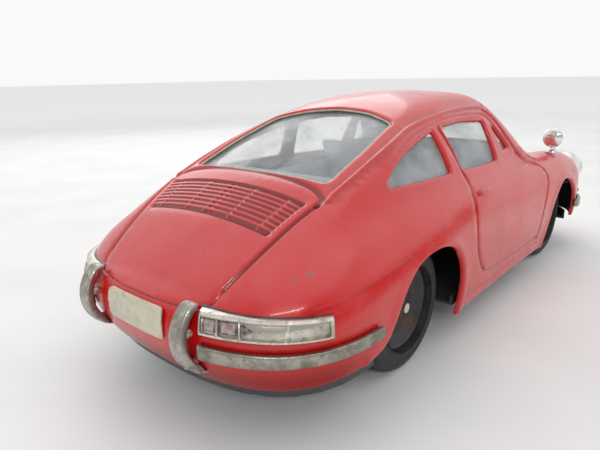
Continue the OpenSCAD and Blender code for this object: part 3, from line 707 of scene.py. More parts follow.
def revolve(profile, centre, side=1, segments=96, matrix=None, radius_at=None):
    """Solid of revolution; profile is (radius, height along the axis). A closed ring of profile
    points that stays off the axis gives a ring. Without a matrix the axis runs outwards along y."""
    pr = np.asarray(profile, float)
    a = np.linspace(0, 2 * math.pi, segments, endpoint=False)
    r = pr[:, 0][:, None] * np.ones(segments)
    if radius_at is not None:
        r = radius_at(pr, r, a)
    h = pr[:, 1][:, None] * np.ones(segments)
    local = np.stack([r * np.cos(a), r * np.sin(a), h], -1)
    if pr[0, 0] < 1e-6 and pr[-1, 0] < 1e-6:
        pts, faces = tube(local[1:-1], local[[0, -1], 0])
    else:
        pts, faces = tube(np.concatenate([local, local[:1]]), fans=False)
        count = len(pr) * segments
        faces = [tuple(v % count for v in f) for f in faces]
        pts = pts[:count]
    if matrix is None:
        pts = np.stack([pts[:, 0], side * pts[:, 2], pts[:, 1]], -1)
    else:
        pts = np.array([matrix @ Vector(q) for q in pts])
    return pts + np.asarray(centre, float), faces


# ---- Materials
class Mat:
    """A node material around one Principled shader, with short calls for the usual nodes."""

    def __init__(self, name, **sockets):
        self.material = bpy.data.materials.new(name)
        self.material.use_nodes = True
        self.tree = self.material.node_tree
        self.shader = self.tree.nodes["Principled BSDF"]
        self.place = self.node("ShaderNodeTexCoord").outputs["Object"]
        for key, value in sockets.items():
            self.set(key.replace("_", " "), value)

    def node(self, kind, **values):
        n = self.tree.nodes.new(kind)
        for key, value in values.items():
            setattr(n, key, value)
        return n

    def set(self, socket, value):
        self.link(value, self.shader.inputs[socket])

    def link(self, value, target):
        """Joins a node's output to a socket, or sets the socket to a number or colour."""
        if isinstance(value, bpy.types.NodeSocket):
            self.tree.links.new(value, target)
        else:
            target.default_value = (*value, 1) if target.type == "RGBA" else value

    def noise(self, size, detail=3.0, rough=0.55, stretch=(1, 1, 1), seed=0.0, distortion=0.0):
        """Noise from 0 to 1 whose features are about size mm."""
        m = self.node("ShaderNodeMapping")
        m.inputs["Location"].default_value = (seed, seed * 1.7, -seed)
        m.inputs["Scale"].default_value = stretch
        self.link(self.place, m.inputs["Vector"])
        n = self.node("ShaderNodeTexNoise")
        self.link(m.outputs[0], n.inputs["Vector"])
        n.inputs["Scale"].default_value = 1 / (size * MM)
        n.inputs["Detail"].default_value = detail
        n.inputs["Roughness"].default_value = rough
        n.inputs["Distortion"].default_value = distortion
        return n.outputs["Fac"]

    def steps(self, value, lo, hi, out_lo=0.0, out_hi=1.0):
        n = self.node("ShaderNodeMapRange", interpolation_type="SMOOTHSTEP")
        self.link(value, n.inputs["Value"])
        for key, v in (("From Min", lo), ("From Max", hi), ("To Min", out_lo), ("To Max", out_hi)):
            n.inputs[key].default_value = v
        return n.outputs["Result"]

    def math(self, operation, a, b=0.0):
        n = self.node("ShaderNodeMath", operation=operation)
        self.link(a, n.inputs[0])
        self.link(b, n.inputs[1])
        return n.outputs[0]

    def times(self, a, b):
        return self.math("MULTIPLY", a, b)

    def patches(self, lo, hi, *noise, **more):
        """Noise with its middle range stretched to 0 to 1."""
        return self.steps(self.noise(*noise, **more), lo, hi)

    def mix(self, factor, a, b):
        n = self.node("ShaderNodeMix", data_type="RGBA")
        self.link(factor, n.inputs["Factor"])
        self.link(a, n.inputs[6])
        self.link(b, n.inputs[7])
        return n.outputs[2]

    def axis(self, name):
        n = self.node("ShaderNodeSeparateXYZ")
        self.link(self.place, n.inputs[0])
        return n.outputs[name]

    def facing_up(self):
        g = self.node("ShaderNodeNewGeometry")
        n = self.node("ShaderNodeSeparateXYZ")
        self.link(g.outputs["Normal"], n.inputs[0])
        return n.outputs["Z"]

    def edges(self, lo=0.52, hi=0.62):
        """1 on sharp outward edges, from the mesh's own curvature."""
        g = self.node("ShaderNodeNewGeometry")
        return self.steps(g.outputs["Pointiness"], lo, hi)

    def ball(self, x, y, z, size):
        """1 inside a soft ball at a place on the car, in mm."""
        n = self.node("ShaderNodeVectorMath", operation="DISTANCE")
        self.link(self.place, n.inputs[0])
        n.inputs[1].default_value = (x * MM, y * MM, z * MM)
        return self.steps(n.outputs["Value"], size * MM, 0.35 * size * MM)

    def finish(self, colour, rough, height, strength, depth):
        """Sets colour, roughness and a bump up to depth mm."""
        self.set("Base Color", colour)
        self.set("Roughness", rough)
        n = self.node("ShaderNodeBump")
        n.inputs["Strength"].default_value = strength
        n.inputs["Distance"].default_value = depth * MM
        self.link(height, n.inputs["Height"])
        self.set("Normal", n.outputs[0])
        return self.material


# Chips in the enamel: place and size
ENAMEL_CHIPS = [(-103, -38.5, 43.5, 1.3), (-111, -30, 41, 1.0), (-84, -45, 41, 0.9), (-35, -46, 40, 0.8),
                (-100, -12, 50.6, 0.9), (-64, 30, 64, 1.2), (50, -44, 46, 1.4), (96, 30, 48, 1.1)]


def red_enamel():
    """Old enamel: dusty and lighter with a painted sheen where it faces up, painted shade in the grooves, a
    painted dark reflection along the shoulder and painted shade under the bumpers, chipped, and worn on its
    edges.
    """
    m = Mat("red_enamel", IOR=1.5, Coat_Roughness=0.07)
    red = m.mix(m.patches(0.35, 0.7, 38, 4, 0.6), (0.56, 0.006, 0.005), (0.6, 0.014, 0.013))
    # Where it faces up the enamel turns lighter and pinker: partly real dust, partly a painted sheen of the
    # light from above.
    dust = m.times(m.steps(m.facing_up(), 0.25, 1.0, 0.02, 0.42),
                   m.steps(m.noise(9, 6, 0.7, seed=3), 0.3, 0.75, 0.4, 1.0))
    colour = m.mix(dust, red, (0.58, 0.1, 0.115))
    # a painted dark reflection that climbs along the shoulder, and painted shade low on the tail under the
    # bumpers
    climb = m.math("SUBTRACT", m.axis("Z"), m.times(m.axis("X"), 0.13))
    painted_dark_reflection = m.times(m.steps(climb, 45 * MM, 48.5 * MM), m.steps(climb, 53.5 * MM, 50 * MM))
    painted_dark_reflection = m.times(painted_dark_reflection, m.steps(m.axis("X"), -6 * MM, -34 * MM))
    patchy = m.steps(m.noise(7, 5, 0.7, stretch=(0.4, 1, 1), seed=21), 0.3, 0.55, 0.35, 1.0)
    painted_dark_reflection = m.times(painted_dark_reflection, patchy)
    # Painted reflection: a deeper red band where the gloss would reflect something dark.
    colour = m.mix(m.times(painted_dark_reflection, 0.95), colour, (0.56, 0.001, 0.0002))
    # Painted shade: the tail darkens towards its bottom, under the bumpers.
    painted_shade_skirt = m.times(m.steps(m.axis("Z"), 27 * MM, 19 * MM),
                    m.steps(m.axis("X"), -84 * MM, -104 * MM))
    colour = m.mix(m.times(painted_shade_skirt, 0.75), colour, (0.2, 0.004, 0.003))
    plain = m.math("SUBTRACT", 1.0, m.math("MAXIMUM", m.times(painted_dark_reflection, 0.7), m.times(painted_shade_skirt, 0.6)))
    m.set("Specular IOR Level", m.times(plain, 0.5))
    m.set("Coat Weight", m.times(plain, 0.4))
    # Painted shade: the enamel darkens in the pressed grooves, more the deeper they are.
    groove_shade = m.node("ShaderNodeAttribute", attribute_name="groove_shade").outputs["Fac"]
    colour = m.mix(m.times(groove_shade, 0.85), colour, (0.16, 0.012, 0.016))
    chips = m.times(m.patches(0.68, 0.74, 1.1, 2, 0.5, seed=5), m.patches(0.5, 0.64, 14, 2, 0.5, seed=8))
    for x, y, z, size in ENAMEL_CHIPS:
        chip = m.times(m.ball(x, y, z, size), m.patches(0.4, 0.5, 0.8, 3, 0.6, seed=x))
        chips = m.math("MAXIMUM", chips, chip)
    worn = m.times(m.edges(0.6, 0.7), m.patches(0.56, 0.7, 5, 4, 0.7, seed=12))
    chips = m.math("MAXIMUM", chips, m.times(worn, 0.6))
    rough = m.steps(m.noise(24, 5, 0.65, seed=2), 0.3, 0.75, 0.2, 0.36)
    rough = m.math("ADD", rough, m.times(dust, 0.2))
    height = m.math("ADD", m.times(m.noise(7, 3, 0.5, seed=4), 0.8),
                    m.math("SUBTRACT", m.times(m.noise(0.7, 2, 0.5), 0.08), chips))
    return m.finish(m.mix(chips, colour, (0.17, 0.13, 0.1)), rough, height, 0.16, 0.12)


def tarnished(name, base, dull, rough, grain, spots):
    """Old plating: bright on its edges, dull and spotted in between."""
    m = Mat(name, Metallic=0.92)
    cloud = m.patches(0.34, 0.66, grain, 6, 0.7)
    colour = m.mix(cloud, base, dull)
    pits = m.times(m.patches(0.58, 0.68, 0.9, 4, 0.65, seed=4), spots)
    colour = m.mix(pits, colour, (0.09, 0.07, 0.05))
    bright = m.times(m.edges(0.51, 0.6), 0.7)
    uneven = m.math("ADD", m.steps(cloud, 0, 1, rough - 0.1, rough + 0.14), m.times(pits, 0.25))
    height = m.math("ADD", m.noise(2.2, 5, 0.6, seed=7), m.times(pits, -0.5))
    return m.finish(m.mix(bright, colour, (0.8, 0.78, 0.74)), uneven, height, 0.35, 0.1)


def painted_tin(name, colour, other, rough, grain):
    """Two cloudy tones with fine scratches."""
    m = Mat(name)
    cloud = m.patches(0.35, 0.7, grain, 5, 0.65)
    scratch = m.times(m.patches(0.68, 0.74, 0.5, 2, 0.5, stretch=(0.06, 1, 1), seed=6), 0.35)
    bare = tuple(min(1, c * 2.2 + 0.08) for c in colour)
    return m.finish(m.mix(scratch, m.mix(cloud, colour, other), bare),
                    m.steps(cloud, 0, 1, rough - 0.07, rough + 0.12),
                    m.noise(grain / 3, 4, 0.6, seed=2), 0.2, 0.08)


def window_plastic():
    """Clear plastic gone grey and cloudy with age."""
    m = Mat("window_plastic", IOR=1.45, Coat_Weight=0.3, Coat_Roughness=0.05)
    cloud = m.patches(0.3, 0.72, 26, 4, 0.6, seed=1)
    grime = m.times(m.patches(0.5, 0.75, 5, 6, 0.7, seed=9), 0.5)
    colour = m.mix(cloud, (0.74, 0.78, 0.79), (0.74 * 0.84, 0.78 * 0.84, 0.79 * 0.84))
    m.set("Alpha", m.math("ADD", m.steps(cloud, 0, 1, 0.26 - 0.12, 0.26 + 0.12), m.times(grime, 0.3)))
    return m.finish(m.mix(grime, colour, (0.62, 0.6, 0.52)), 0.18, m.noise(18, 2, 0.4, seed=3), 0.3, 0.2)


def rubber():
    m = Mat("tyre_rubber", Specular_IOR_Level=0.35)
    cloud = m.patches(0.35, 0.7, 7, 6, 0.7)
    dust = m.times(m.patches(0.5, 0.72, 1.6, 5, 0.7, seed=5), 0.35)
    black = m.mix(cloud, (0.022, 0.022, 0.026), (0.045, 0.043, 0.045))
    return m.finish(m.mix(dust, black, (0.13, 0.12, 0.11)), m.steps(cloud, 0, 1, 0.5, 0.72),
                    m.noise(0.8, 5, 0.7, seed=2), 0.3, 0.06)


def hub_paint():
    m = Mat("hub_dark", Metallic=0.25)
    cloud = m.patches(0.4, 0.7, 5, 5, 0.65, seed=2)
    rust = m.times(m.patches(0.5, 0.64, 6, 6, 0.75, seed=11), 0.75)
    base = m.mix(cloud, (0.03, 0.028, 0.03), (0.06, 0.055, 0.055))
    return m.finish(m.mix(rust, base, (0.11, 0.045, 0.022)), m.steps(cloud, 0, 1, 0.34, 0.55),
                    m.noise(1.5, 5, 0.7), 0.3, 0.08)


def cream_plate():
    m = Mat("cream_plate", Coat_Weight=0.2, Coat_Roughness=0.2)
    cloud = m.patches(0.35, 0.72, 4, 5, 0.65)
    stain = m.times(m.patches(0.52, 0.7, 3, 6, 0.75, stretch=(1, 0.35, 1.3), seed=4),
                    m.steps(m.axis("Z"), 31.5 * MM, 35.4 * MM))
    colour = m.mix(cloud, (0.62, 0.58, 0.45), (0.5, 0.46, 0.35))
    return m.finish(m.mix(m.times(stain, 0.75), colour, (0.25, 0.17, 0.1)), m.steps(cloud, 0, 1, 0.38, 0.55),
                    m.noise(2, 4, 0.6, seed=2), 0.3, 0.08)


def lamp_glass(name, colour, worn, rough):
    m = Mat(name, IOR=1.5, Coat_Weight=0.5, Coat_Roughness=0.06)
    rub = m.patches(0.42, 0.62, 1.4, 5, 0.7)
    return m.finish(m.mix(rub, colour, worn), m.steps(rub, 0, 1, rough, rough + 0.25),
                    m.noise(0.9, 3, 0.6, seed=3), 0.25, 0.06)


# bright colour, dull colour, roughness, size of the clouds, strength of the pits
METALS = {
    "tarnished_chrome": ((0.4, 0.38, 0.33), (0.19, 0.175, 0.13), 0.34, 6, 0.6),
    "tarnished_horn": ((0.46, 0.44, 0.4), (0.26, 0.245, 0.205), 0.33, 5, 0.6),
    "lamp_metal": ((0.6, 0.57, 0.5), (0.4, 0.37, 0.31), 0.27, 4, 0.5),
    "bright_chrome": ((0.85, 0.84, 0.82), (0.7, 0.68, 0.66), 0.15, 8, 0.2),
    "bare_tin": ((0.62, 0.61, 0.58), (0.45, 0.44, 0.4), 0.3, 6, 0.6),
    "gear_steel": ((0.55, 0.55, 0.54), (0.36, 0.35, 0.33), 0.32, 3, 0.6),
    "axle_brass": ((0.66, 0.44, 0.26), (0.4, 0.24, 0.15), 0.34, 2, 0.6),
    "flywheel_iron": ((0.2, 0.19, 0.19), (0.11, 0.1, 0.1), 0.45, 4, 0.6)}
# two colours, roughness, size of the clouds
PAINTS = {
    "aged_plastic": ((0.36, 0.4, 0.29), (0.5, 0.48, 0.36), 0.3, 3),
    "underside_tin": ((0.035, 0.036, 0.045), (0.06, 0.055, 0.055), 0.4, 12),
    "interior_tin": ((0.42, 0.5, 0.56), (0.52, 0.58, 0.62), 0.5, 12),
    "seat_tin": ((0.42, 0.47, 0.52), (0.32, 0.37, 0.42), 0.45, 8),
    "dark_plastic": ((0.04, 0.04, 0.045), (0.07, 0.07, 0.07), 0.35, 4)}
# colour, worn colour, roughness
LENSES = {
    "tail_lens": ((0.33, 0.21, 0.21), (0.46, 0.39, 0.36), 0.25),
    "tail_lens_worn": ((0.07, 0.045, 0.045), (0.3, 0.24, 0.22), 0.25),
    "lamp_lens": ((0.72, 0.74, 0.72), (0.6, 0.6, 0.56), 0.12),
    "amber_lens": ((0.75, 0.24, 0.03), (0.6, 0.3, 0.1), 0.18)}

MATERIALS = {"red_enamel": red_enamel(), "window_plastic": window_plastic(), "tyre_rubber": rubber(),
             "hub_dark": hub_paint(), "cream_plate": cream_plate()}
for make, table in ((tarnished, METALS), (painted_tin, PAINTS), (lamp_glass, LENSES)):
    MATERIALS.update((name, make(name, *how)) for name, how in table.items())
MATERIALS["axle_steel"] = MATERIALS["gear_steel"]
MATERIALS["pinion_brass"] = MATERIALS["axle_brass"]


def dress_cad_nodes():
    """Gives every carried-over CAD node the node material of its record slot."""
    for row in frame["record"]["subparts"]:
        mesh = nodes[row["node"]].data
        mesh.materials.clear()
        mesh.materials.append(MATERIALS[row["material_slot"]])


# ---- Pieces
def make_shell():
    pts, faces, inside, groove_shade = build_shell()
    shell = add_mesh("body_pressing", pts, faces, "red_enamel", ["body_shell"],
                     materials=["red_enamel", "underside_tin"], groups=inside, tidy=False)
    shell.data.attributes.new("groove_shade", "FLOAT", "POINT").data.foreach_set("value", groove_shade)


# Outer and inner face of the glazing, from the body's surface
GLASS_OUT, GLASS_IN = -1.35, -1.9


def make_windows():
    def top_glass(name, node, x0, x1, half, bow):
        x, y = np.meshgrid(np.linspace(0, 1, 40), np.linspace(-half, half, 48), indexing="ij")
        xy = np.stack([x0 + (x1 - bow * y**2 - x0) * x, y], -1)
        pts, faces = slab(on_top(xy, GLASS_OUT), on_top(xy, GLASS_IN))
        add_mesh(name, pts, faces, "window_plastic", [node])

    top_glass("rear_glass", "rear_window", -85.3, -36.8, 27.9, 0)
    top_glass("front_glass", "windscreen", 29, 59.5, 31, 0.0072)
    for side, word in SIDES:
        x, t = np.meshgrid(np.linspace(-69.6, 28.4, 80), np.linspace(0, 1, 18), indexing="ij")
        foot, head = 53.2, np.minimum(71.6, spline(ROOF, x) - 4.6)
        xz = np.stack([x, foot + (head - foot) * t], -1)
        pts, faces = slab(on_side(xz, side, GLASS_OUT), on_side(xz, side, GLASS_IN))
        add_mesh(f"side_glass_{word}", pts, faces, "window_plastic", [f"side_window_{word}"])


def bead(name, outline, spacing, radius, sink, inset=0.3, sides=10):
    """A round bead of aged plastic round a top opening, set in from its edge."""
    edge = resample(on_top(densify(rounded(outline))), spacing, closed=True)
    loop = beside(edge, inset, closed=True)
    if np.ptp(loop[:, 0]) > np.ptp(edge[:, 0]):
        loop = beside(edge, -inset, closed=True)
    n = normals(loop)
    ahead = np.roll(loop, -1, 0) - np.roll(loop, 1, 0)
    ahead /= np.linalg.norm(ahead, axis=1, keepdims=True)
    sideways = np.cross(n, ahead)
    a = np.linspace(0, 2 * math.pi, sides, endpoint=False)
    rings = (loop - n * sink)[:, None] + radius * (np.cos(a)[None, :, None] * n[:, None]
                                                   + np.sin(a)[None, :, None] * sideways[:, None])
    k, m = rings.shape[:2]
    faces = [(i * m + j, i * m + (j + 1) % m, ((i + 1) % k) * m + (j + 1) % m, ((i + 1) % k) * m + j)
             for i in range(k) for j in range(m)]
    add_mesh(name, rings.reshape(-1, 3), faces, "window_plastic", materials=["aged_plastic"])


def make_window_lips():
    bead("rear_window_lip", REAR_WINDOW, 0.9, 0.36, 0.85)
    bead("windscreen_lip", WINDSCREEN, 1.2, 0.4, 0.75)


def band(angle0, angle1, foot, head, level_at, steps=90, levels=20):
    """Front skin of a strip round the body: level_at(u, v) is its height, foot and head its edges."""
    u, v = np.meshgrid(np.linspace(0, 1, steps), np.linspace(0, 1, levels), indexing="ij")
    angle = angle0 + (angle1 - angle0) * u
    lo = foot[0] + (foot[1] - foot[0]) * u
    hi = head[0] + (head[1] - head[0]) * u
    return round_body(angle, lo + (hi - lo) * v, level_at(u, v)), u, v


def strip(ends, foot, head, front, back, steps, levels):
    """Closed strip on the body between the heights front(u, v) and back, and its front's u and v."""
    outer, u, v = band(*ends, foot, head, front, steps, levels)
    inner, _, _ = band(*ends, foot, head, lambda u, v: back + 0 * u, steps, levels)
    return (*slab(outer, inner), u, v)


def make_bumpers():
    """Blades with a rolled section: a flat face, rounded edges and tapered outer ends."""
    over, upward = squared(np.linspace(0, 2 * math.pi, 28, endpoint=False), 0.45)

    def blade(name, node, angles, mid, half, level_mid, level_half, taper, lean=0.25):
        u = np.linspace(0, 1, len(angles))
        end = np.clip(np.minimum(u / taper[0], (1 - u) / taper[1]), 0, 1)
        end = np.sqrt(1 - (1 - end)**2) * 0.96 + 0.04
        z = mid(u)[:, None] + half(u)[:, None] * upward * (0.5 + 0.5 * end)[:, None]
        level = level_mid + level_half * over * end[:, None] - lean * upward * (over > 0)
        pts, faces = tube(round_body(np.asarray(angles)[:, None], z, level))
        add_mesh(name, pts, faces, "tarnished_chrome", [node], sharp=50)

    for side, word in SIDES:
        ends = 180 - side * 29.5, 180 - side * 86.4
        blade(f"rear_blade_{word}", f"rear_bumper_{word}", np.linspace(*ends, 90),
              lambda u: 28.05 - 1.5 * u - 0.25 * np.sin(math.pi * u), lambda u: 1.86 - 0.5 * u,
              1.05, 0.82, (0.01, 0.05))
    blade("front_blade", "front_bumper", np.linspace(-82, 82, 170), lambda u: 23 + 0 * u,
          lambda u: 2.45 - 0.9 * np.abs(2 * u - 1)**4, 1.15, 0.95, (0.03, 0.03))


def squared(t, power):
    """Cosine and sine of a superellipse: a rounded box for powers under 1."""
    c, s = np.cos(t), np.sin(t)
    return np.sign(c) * np.abs(c)**power, np.sign(s) * np.abs(s)**power


REAR_HORN_Y, FRONT_HORN_Y, HORN_HALF = 20.1, 20.7, 2.1


def make_overriders():
    """Hooked horns: the back lies on the shell, the front is a round arc."""
    over, sideways = squared(np.linspace(0, 2 * math.pi, 32, endpoint=False), 0.44)

    def horn(name, node, side, y0, aim, outer, gap):
        rings = []
        for i, (x, z) in enumerate(outer):
            y = y0 + sideways * HORN_HALF
            start, target = vec(aim[0], y, aim[1]), vec(x, y, z)
            way = target - start
            reach = np.linalg.norm(way, axis=1)
            way /= reach[:, None]
            skin = cast(start, way, gap, lo=0.1, hi=40)
            back = np.clip(((skin - start) * way).sum(1), reach - 2.5, reach - 1.1)
            k = min(1, (i + 0.35) / 3, (len(outer) - 0.65 - i) / 3)
            k = math.sqrt(1 - (1 - k)**2)
            middle, half = (back + reach) / 2, (reach - back) / 2
            ring = start + way * (middle + half * over * (0.3 + 0.7 * k))[:, None]
            ring[:, 1] = side * (y0 + sideways * HORN_HALF * (0.62 + 0.38 * k))
            rings.append(ring)
        pts, faces = tube(np.array(rings))
        add_mesh(name, pts, faces, "tarnished_chrome", [node], materials=["tarnished_horn"], sharp=60)

    a = np.radians(np.linspace(62, -88, 46))
    rear = np.stack([-119.4 - 9.2 * np.cos(a), 30.3 + 9.9 * np.sin(a)], -1)
    front = smooth([(124.6, 29.9), (127.2, 28.8), (129, 25.6), (129.1, 22.6), (127.6, 20), (125.4, 18.8)])
    for side, word in SIDES:
        horn(f"rear_horn_{word}", f"rear_overrider_{word}", side, REAR_HORN_Y, (-106, 31), rear, 0.12)
        for part, z, radius in (("upper", 31.4, 1.0), ("lower", 23.6, 0.8)):
            stud = [(0, -1.2), (radius, -1.2), (radius, 2.6), (radius * 0.8, 3), (0, 3)]
            pts, faces = revolve(stud, on_end(np.array([side * REAR_HORN_Y, z]), -1), segments=24,
                                 matrix=Matrix.Rotation(math.radians(-90), 3, "Y"))
            add_mesh(f"horn_stud_{part}_{word}", pts, faces, "tarnished_chrome", materials=["tarnished_horn"])
    for side, word in SIDES:
        horn(f"front_horn_{word}", "front_overriders", side, FRONT_HORN_Y, (112, 25), front, 0.3)


LAMP_RIBS = [(0.0, 0.02), (0.153, 0.165), (0.322, 0.332), (0.97, 1.0)]


def make_tail_lamps():
    """One silver housing a side, on a gasket: raised rim, two worn pockets and a long clear one."""
    for side, word in SIDES:
        pts, faces, u, v = strip((180 - side * 30.4, 180 - side * 66), (32.4, 31.0), (37.2, 36.0),
                                 lamp_level, 0.2, 190, 44)
        cell_u = (u[:-1, :-1] + u[1:, 1:]).ravel() / 2
        cell_v = (v[:-1, :-1] + v[1:, 1:]).ravel() / 2
        tall = np.abs(cell_v - 0.5)
        group = np.zeros(len(tall), int)
        for a, b in ((0.03, 0.145), (0.173, 0.314)):
            group[(tall < 0.3) & (cell_u > a) & (cell_u < b)] = 2
            group[(tall < 0.21) & (cell_u > a + 0.018) & (cell_u < b - 0.018)] = 1
        group[(tall < 0.3 - 3.2 * (cell_u - 0.34)) & (cell_u > 0.34) & (cell_u < 0.43)] = 2
        fill = np.zeros(len(faces), int)
        fill[:2 * len(group):2] = group
        add_mesh(f"tail_lamp_housing_{word}", pts, faces, "lamp_metal", [f"tail_lamp_{word}"],
                 materials=["lamp_metal", "tail_lens", "tail_lens_worn"], groups=fill)
        pts, faces, _, _ = strip((180 - side * 30.2, 180 - side * 66.25), (32.15, 30.75), (37.42, 36.22),
                                 lambda u, v: 0.28 + 0 * u, -0.1, 120, 8)
        add_mesh(f"tail_lamp_gasket_{word}", pts, faces, "dark_plastic")


def lamp_level(u, v):
    """Height of the lamp housing over the body: a domed lens inside a rim, cut by the ribs."""
    rim = ease((np.abs(v - 0.5) - 0.31) / 0.07)
    for a, b in LAMP_RIBS:
        mid, half = (a + b) / 2, (b - a) / 2
        rim = np.maximum(rim, ease((half + 0.008 - np.abs(u - mid)) / 0.008))
    round_off = ease((0.5 - np.abs(v - 0.5)) / 0.07) * ease(np.minimum(u, 1 - u) / 0.007)
    dome = 0.22 * np.cos(math.pi * (v - 0.5))
    return 0.75 + dome * (1 - rim) + 0.9 * rim * (0.35 + 0.65 * round_off)


def make_number_plate():
    """A thin blank plate with rounded corners, a rolled border and a slight curl."""
    u, v = np.meshgrid(np.linspace(-1, 1, 110), np.linspace(-1, 1, 36), indexing="ij")
    middle, half_w, half_h, corner = 180.8, 15.3, 3.9, 1.15
    away = np.clip((np.abs(u) - (1 - corner / half_w)) / (corner / half_w), 0, 1)
    reach = half_h - corner + corner * np.sqrt(1 - np.minimum(away, 0.999)**2)
    z = 31.5 + reach * v
    edge = np.minimum(half_h * (1 - np.abs(v)), half_w * 1.9 * (1 - np.abs(u)))
    border = np.exp(-((edge - 0.75) / 0.28)**2)
    curl = 0.22 * ease((np.abs(u) - 0.8) / 0.2) * (v > 0)
    front = round_body(middle + half_w * u, z, 0.56 + 0.16 * border + curl)
    back = round_body(middle + half_w * u, z, 0.18 + curl * 0.9)
    pts, faces = slab(front, back)
    add_mesh("number_plate_blank", pts, faces, "cream_plate", ["number_plate"])


HEADLAMP_AT, LENS_R, LENS_Z = (113, 35.5, 37.2), 7.08, 3.55


def make_headlamps():
    """Plated bezel, domed lens and reflector bowl, turned up and outwards."""
    turn = Matrix.Rotation(math.radians(4), 3, "Z") @ Matrix.Rotation(math.radians(58), 3, "Y")
    rim = [(7.25, -3), (8.8, -3), (9.02, 0), (9.08, 2.2), (9.05, 2.9), (8.8, 3.6), (8.3, 4.15), (7.75, 4.3),
           (7.3, 4.05), (7.2, 3.6)]
    lens = [(0, 2.4), (LENS_R, 2.4), (LENS_R, LENS_Z)]
    lens += [(LENS_R * math.cos(a), LENS_Z + 2.4 * math.sin(a)) for a in np.radians(np.linspace(8, 82, 12))]
    lens += [(0, 5.97)]
    bowl = [(0, -1.6), (3, -1.4), (5.4, -0.5), (6.7, 1.1), (7.05, 2.3), (6.7, 2.3), (6.2, 1.3), (4.9, 0.05),
            (2.7, -0.9), (0, -1.1)]
    for side, word in SIDES:
        for name, profile, slot, replaces in (
                ("headlamp_bezel", rim, "bright_chrome", [f"headlamp_rim_{word}"]),
                ("headlamp_glass", lens, "lamp_lens", [f"headlamp_lens_{word}"]),
                ("headlamp_bowl", bowl, "lamp_metal", [])):
            pts, faces = revolve(profile, HEADLAMP_AT, matrix=turn)
            pts[:, 1] *= side
            add_mesh(f"{name}_{word}", pts, faces, slot, replaces)


def make_front_indicators():
    def level(u, v):
        return 0.35 + 1.0 * (1 - (2 * v - 1)**4)**0.5 * (1 - (2 * u - 1)**20)**0.5

    for side, word in SIDES:
        pts, faces, _, _ = strip((side * 36, side * 64), (26.25, 26.25), (28.35, 28.35), level, 0.22, 90, 16)
        add_mesh(f"front_indicator_{word}", pts, faces, "amber_lens", ["front_indicators"])


MIRROR_X, MIRROR_Y, MIRROR_Z = 77.7, 38.6, 56.6


def make_mirrors():
    """Round plated mirror on a flared foot, facing the driver."""
    foot = [(0, 50.2), (3.4, 50.2), (3.3, 50.5), (2.4, 50.75), (1.45, 51.2), (1.02, 51.9), (0.9, 53),
            (1.02, 54), (0, 54.1)]
    head = [(0, -2.4), (1, -2.34), (2, -2.1), (2.9, -1.68), (3.6, -1.15), (4.15, -0.5), (4.45, 0.25),
            (4.5, 0.8), (4.42, 1.15), (4.1, 1.4), (3.6, 1.75), (2.9, 2.1), (2, 2.4), (1, 2.56), (0, 2.6)]
    facing = Matrix.Rotation(math.radians(-90), 3, "Y")
    for side, word in SIDES:
        for part, profile, z, segments, turn in (("foot", foot, 0, 48, Matrix.Identity(3)),
                                                 ("head", head, MIRROR_Z, 72, facing)):
            pts, faces = revolve(profile, (MIRROR_X, side * MIRROR_Y, z), segments=segments, matrix=turn)
            add_mesh(f"mirror_{part}_{word}", pts, faces, "bright_chrome", [f"fender_mirror_{word}"])


WHEELS = [("rear", -60.5), ("front", 73.5)]
WHEEL_R, TYRE_OUTER, TYRE_INNER, TREAD_NICKS, NICK = 20, 41.4, 30.4, 60, 0.22


def make_wheels():
    """Moulded tyre with a shoulder and shallow tread, pressed disc and, in front, a plated cap."""
    half = [(13.4, 0), (13.55, -0.55), (14.3, -0.75), (16.1, -0.62), (16.3, -0.3), (16.7, -0.3),
            (16.9, -0.6), (18.1, -0.95), (19, -1.6), (19.6, -2.4), (19.88, -3.3), (19.95, -3.55),
            (19.6, -3.75), (19.6, -4.1), (WHEEL_R, -4.3), (WHEEL_R, -5.5)]
    tyre = [(r, TYRE_OUTER + h) for r, h in half] + [(r, TYRE_INNER - h) for r, h in reversed(half)]
    disc = [(0, 37.4), (1.9, 37.4), (2.0, 37.9), (3.2, 37.9), (3.6, 37.2), (8.2, 36.7), (10.3, 37.4),
            (11.6, 38.6), (12.2, 39.15), (13, 39.2), (13.38, 38.9), (13.38, 33), (0, 33)]
    cap = [(0, 41.25), (2.6, 41.2), (4.9, 40.95), (6.9, 40.5), (8.2, 40), (8.6, 39.6), (9.4, 39.75),
           (10.2, 39.6), (10.55, 39.2), (10.6, 38.8), (10.4, 38.6), (0, 38.6)]

    def tread(profile_points, r, a):
        on_face = (profile_points[:, 0] > WHEEL_R - 0.1)[:, None]
        nick = (np.cos(TREAD_NICKS * a) > 0.55)[None, :]
        return np.where(on_face & nick, r - NICK, r)

    for word, x in WHEELS:
        for side, hand in SIDES:
            def add(name, profile, slot, node, sharp=42, **how):
                pts, faces = revolve(profile, (x, 0, WHEEL_R), side=side, **how)
                add_mesh(f"{name}_{hand}", pts, faces, slot, [f"{node}_{hand}"], f"{word}_axle_set",
                         sharp=sharp)

            add(f"{word}_tyre_moulded", tyre, "tyre_rubber", f"{word}_tyre", 38, segments=360,
                radius_at=tread)
            add(f"{word}_disc", disc, "hub_dark", f"{word}_hub")
            if word == "front":
                add("front_wheel_cap", cap, "bright_chrome", "front_cap")


HANDLE_REAR, HANDLE_FRONT, HANDLE_Z = -22.6, -10.8, 48.2
HANDLE_HIGH, HANDLE_LIFT, HANDLE_SUNK = 0.8, 1.1, 0.35


